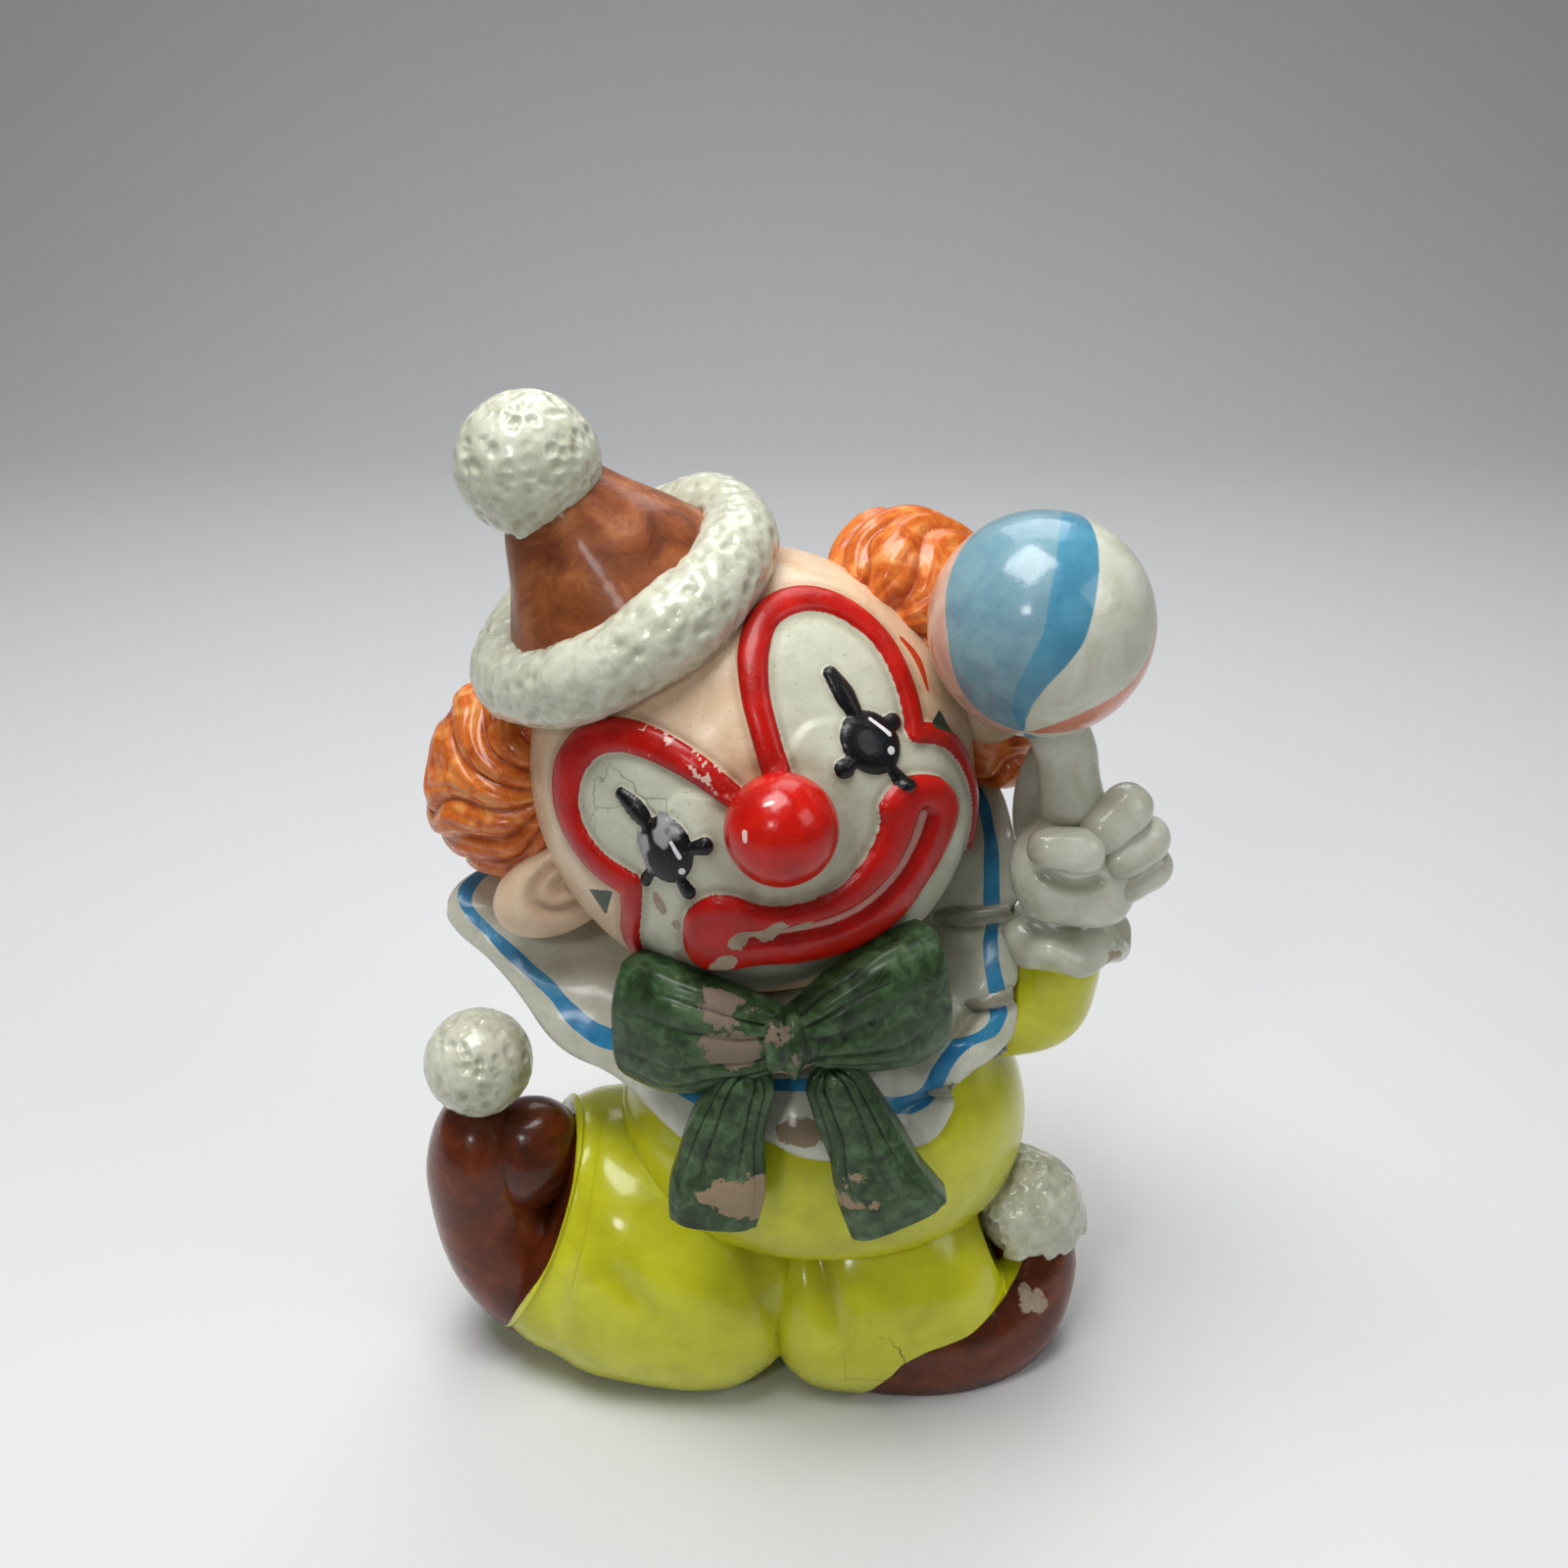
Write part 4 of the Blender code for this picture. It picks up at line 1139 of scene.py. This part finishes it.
@dataclass
class Shoes:
    """The clown's brown shoes, their toes curled up to a pompom."""

    left_pompom: Station = (-57, -12, 64)
    right_pompom: Station = (47.5, -12, 31)
    radius: float = 10.4

    def build(self) -> None:
        """Models and paints shoes and pompoms."""
        paint = BROWN.material()
        left = Form("shoe_kicked_up", [
            (-24, -4, 8, 10, 15), (-40, -8, 9, 11.5, 15), (-52, -10, 18, 12.5, 15),
            (-58, -9, 36, 11.5, 13), (-57.5, -9.5, 54, 9.5, 11)], segments=170, rings=150).build()
        right = Form("shoe_standing", [
            (10, -17, 5, 11, 13), (26, -20, 6, 13.5, 12.5), (40, -16, 7.5, 13.5, 12.5),
            (47.5, -11, 15, 10.5, 11.5), (48.5, -10, 27, 8, 9)], segments=170, rings=150).build()
        tongue = egg("shoe_tongue", (-49.0, -10.5, 42.0), (9.6, 9.5, 12.0), -14.0, 120, 80)
        tongue.swell(lumps(tongue.spots(), 6.0, 4) * 0.4)
        # the tongue darker towards its lower part
        tongue.note("wash_and_shade", step(50, 42, tongue.spots()[:, 2]) * 0.5)
        tongue.finish(paint, Slot.BROWN)
        for clay, node, seed in ((left, "shoe_left", 3), (right, "shoe_right", 8)):
            clay.swell(lumps(clay.spots(), 12.0, seed) * 0.5)
            Body.flatten(clay)
            spots = clay.spots()
            # painted shade where the shoes meet the floor
            clay.note("wash_and_shade", step(5, 0.5, spots[:, 2]) * 0.5)
            scuff = np.hypot(np.hypot(spots[:, 0] - 47.0, spots[:, 1] + 20.0), spots[:, 2] - 15.0)
            clay.note("wear", 0.80 * np.clip(1.3 - scuff / 6.5, 0, 1))
            clay.finish(paint, Slot.BROWN, node)
        left_centre = np.array(self.left_pompom, float)
        Pompom("shoe_bobble_left", left_centre, self.radius, seed=14).build("shoe_pompom_left")
        right_centre = np.array(self.right_pompom, float)
        Pompom("shoe_bobble_right", right_centre, self.radius, seed=19).build("shoe_pompom_right")
        self.build_peel(right_centre)

    def build_peel(self, centre: Array) -> None:
        """The thick skin of paint that peels off the right bobble, lifting at a ragged edge."""
        clay = Clay.ball("peeling_paint_skin", 260, 150)
        ball = clay.raw()
        polar = np.degrees(np.arccos(np.clip(ball[:, 2], -1, 1)))
        turn = np.arctan2(ball[:, 1], ball[:, 0])
        ring = np.column_stack([np.cos(turn), np.sin(turn), np.zeros(len(turn))]) * 4.0
        ragged = 88 + 13 * lumps(ring, 1.3, 4) + 7 * lumps(ring, 0.45, 5)
        lift = step(55, 88, polar) * (1.6 + 0.9 * lumps(ring, 0.9, 6))
        far = self.radius + 0.2 + lift + 0.25 * lumps(ball * 10, 2.6, 8)
        frame_of = np.array(Vector((0.45, -0.35, 0.82)).to_track_quat("Z", "Y").to_matrix())
        clay.move_to(centre + (ball * far[:, None]) @ frame_of.T)
        fleece(clay, 2.7, 0.75, 19)
        mesh = bmesh.new()
        mesh.from_mesh(clay.piece.data)
        mesh.verts.ensure_lookup_table()
        gone = [vert for vert, angle, edge in zip(mesh.verts, polar, ragged) if angle > edge]
        bmesh.ops.delete(mesh, geom=gone, context="VERTS")
        mesh.to_mesh(clay.piece.data)
        mesh.free()
        clay.modify("SOLIDIFY", thickness=0.5 * MM, offset=-1.0)
        spots = clay.spots()
        clay.note("wash_and_shade", np.clip(0.25 + 0.4 * lumps(spots, 3.0, 2), 0, 1))
        clay.finish(FLEECE.material(), Slot.WHITE)


# ---- bow ---------------------------------------------------------


@dataclass
class Bow:
    """The big bow under the chin, worn where hands have held it."""

    knot: Station = (0.8, -39.5, 87.6)

    def build(self) -> None:
        """Models and paints knot, loops and tails."""
        paint = GREEN.material()
        loops = {
            "bow_loop_left": [(1, -39, 87.5, 3.6, 4), (-9, -38, 87.2, 8.4, 5.5), (-19, -35, 87.0, 11.4, 6.5),
                              (-27, -30, 87.2, 11.2, 5.5)],
            "bow_loop_right": [(1, -39, 87.5, 3.6, 4), (10, -38, 90.2, 8.4, 5.5), (18, -35, 92.0, 11.4, 6.5),
                               (26, -30, 93.0, 11.5, 5.5)],
        }
        tails = {
            "bow_tail_left": [(-5.4, -40.5, 82.0, 3.8, 3.2), (-9.6, -41, 71, 5.8, 4), (-11.2, -42, 60, 7.6, 4.5),
                              (-12.2, -42, 52.4, 7.2, 4.5)],
            "bow_tail_right": [(7.6, -40.7, 82.0, 3.8, 3.2), (12.4, -41, 71, 5.6, 4), (16.6, -42, 60, 7.6, 4.5),
                               (20.2, -41, 52.4, 8.8, 4.5)],
        }
        for name, stations in loops.items():
            form = Form(name.replace("bow", "ribbon"), stations, ends=(0.1, 0.10), segments=220, rings=170,
                        squareness=2.9)
            clay = form.build()
            self.pleat(clay, form, pleats=5, depth=1.2, worn=(0.30, 0.78) if "left" in name else (0.12, 0.5))
            clay.finish(paint, Slot.GREEN, name)
        tan = replace(GREEN, name="acrylic bottle green over tan bisque", wash_and_shade_strength=0.9, coat=0.2,
                      bisque="#a8926f").material()
        for name, stations in tails.items():
            form = Form(name.replace("bow", "ribbon"), stations, ends=(0.1, 0.06), segments=200, rings=190,
                        squareness=3.4)
            clay = form.build()
            self.pleat(clay, form, pleats=4, depth=1.1, worn=(0.70, 0.96) if "left" in name else (0.6, 0.56),
                       side=-1.0 if "left" in name else 1.0)
            clay.finish(tan, Slot.GREEN, name)
        knot = egg("ribbon_knot", (self.knot[0], self.knot[1] - 1.4, self.knot[2]), (5.0, 5.2, 6.0),
                   segments=140, rings=100)
        spots = knot.spots()
        knot.swell(np.sin(spots[:, 0] * 1.5 + 1.0 + 0.05 * spots[:, 2]) * 0.55 + lumps(spots, 4.0, 3) * 0.5)
        knot.note("wear", 0.44 + lumps(spots, 4.0, 8) * 0.12)
        # the knot's fold hollows darkened: antique wash and painted shade
        knot.note("wash_and_shade", np.clip(-np.sin(spots[:, 0] * 1.5 + 1.0 + 0.05 * spots[:, 2]), 0, 1) * 0.6)
        knot.finish(paint, Slot.GREEN, "bow_knot")

    @staticmethod
    def pleat(clay: Clay, form: Form, pleats: int, depth: float, worn: tuple[float, float],
              side: float = 1.0) -> None:
        """Draws folds that fan out from the knot, and rubs the paint off their crowns.

        Args:
            clay: the piece.
            form: the form it came from, for its places along and round.
            pleats: how many folds show.
            depth: how deep they are.
            worn: where along the piece paint is lost, and how much.
            side: which edge the loss is at, 1 or -1.
        """
        spots = clay.spots()
        across = np.cos(form.angle)
        phase = across * pleats + 0.5 + 0.7 * lumps(spots, 9.0, 31) + 0.5 * form.t
        reach = step(0.95, 0.3, form.t) * (0.65 + 0.45 * lumps(spots, 12.0, 13))
        crease = np.abs(np.sin(phase * 1.5)) ** 0.5 - 0.6
        fan = np.clip(crease * reach, -1, 1)
        edge = step(0.86, 0.97, np.abs(across)) * 0.5
        clay.swell(fan * depth * 1.25 + edge + lumps(spots, 6.0, 17) * 0.3)
        # the folds' hollows darkened: antique wash and painted shade
        clay.note("wash_and_shade", np.clip(-fan * 3.2, 0, 1))
        place, amount = worn
        front = step(0.15, -0.25, np.sin(form.angle))
        streak = lumps(spots * np.array([0.5, 1.0, 1.6]), 3.0, 44)
        rubbed = amount * bell(form.t, place, 0.22) * step(-0.75, 0.15, across * side) * (0.9 + 0.3 * streak)
        clay.note("wear", rubbed * (0.3 + 0.7 * front))


# ---- arms and balloon --------------------------------------------


@dataclass
class RaisedArm:
    """Sleeve, frilled cuff, glove and the balloon on its stem."""

    balloon: Station = (42.0, -15.0, 151.5)
    balloon_radius: float = 18.6

    def build(self) -> None:
        """Models and paints the arm and what it holds."""
        yellow, white = YELLOW.material(), WHITE.material()
        sleeve = Form("sleeve_puff", [(24, 0, 78, 12, 12), (38, -6, 76, 12.5, 12), (47, -10, 79, 10, 11),
                                      (50.5, -13, 94, 7, 8)], segments=160, rings=110).build()
        sleeve.swell(lumps(sleeve.spots(), 9.0, 2) * 0.5)
        sleeve.finish(yellow, Slot.YELLOW, "sleeve_raised")
        cuff = egg("cuff_frill", (50.5, -13.5, 92), (11.5, 11, 4.8), segments=260, rings=90)
        spots = cuff.spots()
        turn = np.arctan2(spots[:, 1] + 13.5, spots[:, 0] - 50.5)
        frill = np.sin(turn * 6 + 0.7 + 0.6 * np.sin(turn * 2))
        far = np.hypot(spots[:, 0] - 50.5, spots[:, 1] + 13.5)
        reach = step(5, 11, far)
        spots[:, 2] += frill * reach * 1.1 + 1.2 * step(4, 9, far) - 1.0
        cuff.move_to(spots)
        cuff.swell(lumps(spots, 5.0, 4) * 0.3)
        # the frill hollows darkened: antique wash and painted shade
        cuff.note("wash_and_shade", np.clip(-frill, 0, 1) * 0.5 * reach)
        chip = 0.8 * np.clip(1.2 - np.linalg.norm(spots - np.array([57.0, -21.0, 92.0]), axis=1) / 3.4, 0, 1)
        cuff.note("wear", chip)
        cuff.finish(white, Slot.WHITE, "cuff_raised")
        self.build_glove(white)
        web = egg("cast_web", (45.5, -5.0, 117.0), (4.6, 3.4, 12.0), -8.0, 90, 60)
        web.swell(lumps(web.spots(), 6.0, 3) * 0.5)
        # the web darkened all over, unevenly
        web.note("wash_and_shade", 0.35 + 0.25 * lumps(web.spots(), 5.0, 9))
        web.finish(white, Slot.WHITE)
        stem = Form("balloon_neck",
                    [(44, -15, 138, 5.6, 5.6), (47.7, -15, 128, 5.2, 5.2), (49.5, -17, 116, 6, 6)],
                    segments=90, rings=60).build()
        stem.swell(lumps(stem.spots(), 5.0, 3) * 0.25)
        stem.finish(white, Slot.WHITE, "balloon_stem")
        self.build_balloon()

    def build_glove(self, white: bpy.types.Material) -> None:
        """The gloved fist."""
        palm = egg("glove_back", (50.4, -17, 107.8), (11.2, 8.4, 10.6), segments=130, rings=90)
        spots = palm.spots()
        knuckle = blob(spots, (57.0, -22.0, 101.0), 26.0) * 1.6
        heel = blob(spots, (43.0, -23.0, 104.0), 60.0)
        crease = band(spots[:, [0, 2]], [(44.0, 110.0, 0.5), (48.5, 108.6, 0.7), (53.0, 109.5, 0.5)], 12)[0]
        dip = step(-1.2, 0.3, crease) * (spots[:, 1] < -20) * 1.1
        palm.swell(lumps(spots, 7.0, 5) * 0.4 + knuckle + heel - dip)
        # the palm crease darkened: painted shade
        palm.note("wash_and_shade", np.clip(dip * 0.5, 0, 1))
        palm.finish(white, Slot.WHITE, "glove_palm")
        fingers = {
            "thumb": ((43.5, -24, 115.2), (51.2, -24.6, 114.8), 3.7),
            "index_finger": ((53.0, -22.5, 116.6), (58.6, -19.5, 121.2), 4.3),
            "middle_finger": ((56.8, -22.5, 112), (62.6, -18.5, 114.6), 4.1),
            "ring_finger": ((58.0, -21, 106.2), (64.0, -17, 108.3), 3.8),
        }
        for name, (root, tip, size) in fingers.items():
            start, end = np.array(root, float), np.array(tip, float)
            way = unit(end - start)
            reach = np.linalg.norm(end - start) + 1.5 * size
            places = [start - way * size * 0.75, start, (start + end) / 2, end, end + way * size * 0.75]
            bulge = (0.96, 0.98, 1.0, 1.05, 1.05)
            form = Form(f"glove_{name}", [(*spot, size * k, size * k) for spot, k in zip(places, bulge)],
                        side=(0.2, 1, 0), ends=(1.35 * size / reach,) * 2, segments=90, rings=70)
            clay = form.build()
            clay.swell(lumps(clay.spots(), 5.0, 6) * 0.3)
            # painted shade at the finger roots, where they meet the palm
            clay.note("wash_and_shade", bell(form.t, 0.05, 0.2) * 0.6)
            clay.finish(white, Slot.WHITE, name)

    def build_balloon(self) -> None:
        """The balloon: a ball painted in upright panels like a beach ball."""
        clay = egg("balloon_ball", self.balloon, (self.balloon_radius,) * 3, segments=220, rings=140)
        spots = clay.spots() - np.array(self.balloon)
        pole = unit(np.array([-0.18, -0.62, -0.75]))
        level = unit(np.array([1.0, 0.0, 0.0]) - pole * pole[0])
        deep = np.cross(pole, level)
        polar = np.degrees(np.arccos(np.clip(spots @ pole / self.balloon_radius, -1, 1)))
        angle = (np.degrees(np.arctan2(spots @ deep, spots @ level)) - 24.0 * step(70, 10, polar)) % 360.0
        girth = np.linalg.norm(spots - (spots @ pole)[:, None] * pole, axis=1)
        layers = []
        for name, low, high, colour, shade in (
            ("panel_grey", 91, 152, "#7fa4b0", "#6b93a3"),
            ("panel_blue", 71, 93, "#5596b0", "#4587a4"),
            ("panel_pink", 152, 205, "#d9b7a6", "#cfa996"),
            ("panel_salmon", 338, 380, "#d98565", "#cd7755"),
            ("panel_blue_behind", 250, 292, "#6ba5c2", "#5a95b6"),
        ):
            middle, half = (low + high) / 2, (high - low) / 2
            off = np.abs((angle - middle + 180) % 360 - 180)
            clay.note(name, (half - off) / 57.3 * girth)
            layers.append(Layer(name, colour, wobble=0.12, soft=0.2, shade=shade))
        # painted shade on the balloon's underside
        clay.note("wash_and_shade", step(0.6, 1.0, spots @ pole / self.balloon_radius) * 0.2)
        paint = replace(WHITE, name="balloon paint on bisque", mottle=7, contrast=0.3, gloss=0.2, speck=0.25,
                        coat=0.5, layers=tuple(layers))
        clay.finish(paint.material(), Slot.BALLOON, "balloon")


@dataclass
class ArmBehind:
    """The other arm, folded behind the back."""

    def build(self) -> None:
        """Models and paints sleeve, cuff and glove."""
        sleeve = Form("sleeve_folded",
                      [(-14, 14, 80, 11, 11), (-19, 26, 68, 10.5, 10), (-9, 31, 57, 8.5, 8.5)],
                      side=(1, 0, 0), segments=130, rings=90).build()
        sleeve.swell(lumps(sleeve.spots(), 8.0, 4) * 0.5)
        sleeve.finish(YELLOW.material(), Slot.YELLOW, "sleeve_behind")
        white = WHITE.material()
        cuff = egg("cuff_folded", (-1, 31, 55), (4, 8.5, 9), segments=130, rings=80)
        spots = cuff.spots()
        frill = np.sin(np.arctan2(spots[:, 2] - 55, spots[:, 1] - 31) * 8)
        cuff.swell(frill * 0.5)
        # the frill hollows darkened: antique wash and painted shade
        cuff.note("wash_and_shade", np.clip(-frill, 0, 1) * 0.4)
        cuff.finish(white, Slot.WHITE, "cuff_behind")
        glove = egg("glove_folded", (10, 30, 56), (9, 6, 7), segments=120, rings=80)
        spots = glove.spots()
        groove = bell(np.sin((spots[:, 2] - 56) * 1.25), 1.0, 0.4) * step(10, 14, spots[:, 0])
        glove.swell(-groove * 0.9)
        # the finger grooves darkened: antique wash and painted shade
        glove.note("wash_and_shade", groove * 0.5)
        glove.finish(white, Slot.WHITE, "glove_behind")


# ---- stage -------------------------------------------------------


@dataclass
class Stage:
    """Pale floor, soft studio light and the camera."""

    focal: float = 1735.0
    frame_size: float = 1600.0
    eye: Station = (0.0, -277.9, 245.3)
    tilt_down: float = 25.0

    def build(self) -> None:
        """Sets floor, lights, world and camera."""
        self.floor()
        self.light("key_softbox", (-0.12, -0.08, 0.80), 0.42, 5.6)
        self.light("small_lamp", (-0.30, -0.70, 0.62), 0.12, 0.9)
        self.light("fill_softbox", (0.60, -0.30, 0.60), 0.35, 0.9)
        self.light("back_softbox", (0.05, 0.50, 0.75), 0.5, 2.2)
        bpy.context.scene.view_settings.view_transform = "Standard"
        world = bpy.data.worlds.new("studio")
        bpy.context.scene.world = world
        world.use_nodes = True
        world.node_tree.nodes["Background"].inputs["Color"].default_value = srgb("#d3d6d8")
        world.node_tree.nodes["Background"].inputs["Strength"].default_value = 0.16
        self.camera()

    @staticmethod
    def floor() -> None:
        """A large pale sheet that curves up behind."""
        bpy.ops.object.select_all(action="DESELECT")
        bpy.ops.mesh.primitive_grid_add(x_subdivisions=4, y_subdivisions=96, size=4.0)
        sheet = bpy.context.object
        sheet.name = "studio_floor"
        start, radius = 0.7, 0.5
        for point in sheet.data.vertices:
            bend = max(0.0, point.co.y - start)
            turn = min(bend / radius, math.pi / 2)
            if bend > 0:
                point.co.z = radius * (1 - math.cos(turn)) + max(0.0, bend - radius * math.pi / 2)
                point.co.y = start + radius * math.sin(turn)
        sheet.data.shade_smooth()
        made = bpy.data.materials.new("pale studio board")
        made.use_nodes = True
        shader = made.node_tree.nodes["Principled BSDF"]
        shader.inputs["Base Color"].default_value = srgb("#d9dadb")
        shader.inputs["Roughness"].default_value = 0.6
        sheet.data.materials.append(made)

    @staticmethod
    def light(name: str, place: Station, size: float, power: float) -> None:
        """One soft square light that looks at the figure."""
        data = bpy.data.lights.new(name, "AREA")
        data.shape = "SQUARE"
        data.size = size
        data.energy = power
        lamp = bpy.data.objects.new(name, data)
        bpy.context.scene.collection.objects.link(lamp)
        lamp.location = place
        lamp.rotation_euler = (Vector((0, 0, 0.09)) - Vector(place)).to_track_quat("-Z", "Y").to_euler()

    def camera(self) -> None:
        """The camera, looking down at the figure's front."""
        data = bpy.data.cameras.new("front_camera")
        data.sensor_width = 36.0
        data.lens = 36.0 * self.focal / self.frame_size
        data.clip_start = 0.01
        made = bpy.data.objects.new("front_camera", data)
        bpy.context.scene.collection.objects.link(made)
        made.location = Vector((np.array(self.eye) + FOOT_CENTRE) * MM)
        made.rotation_euler = (math.radians(90 - self.tilt_down), 0, 0)
        bpy.context.scene.camera = made


def main() -> None:
    """Builds the figure piece by piece, and reports each."""
    logging.basicConfig(level=logging.INFO, format="%(relativeCreated)6.0f %(message)s")
    for part in (Body(), Shoes(), Collar(), Bow(), Head(), Hat(), Hair(), RaisedArm(), ArmBehind(), Stage()):
        LOG.info("building %s", type(part).__name__)
        part.build()


if __name__ == "__main__":
    main()
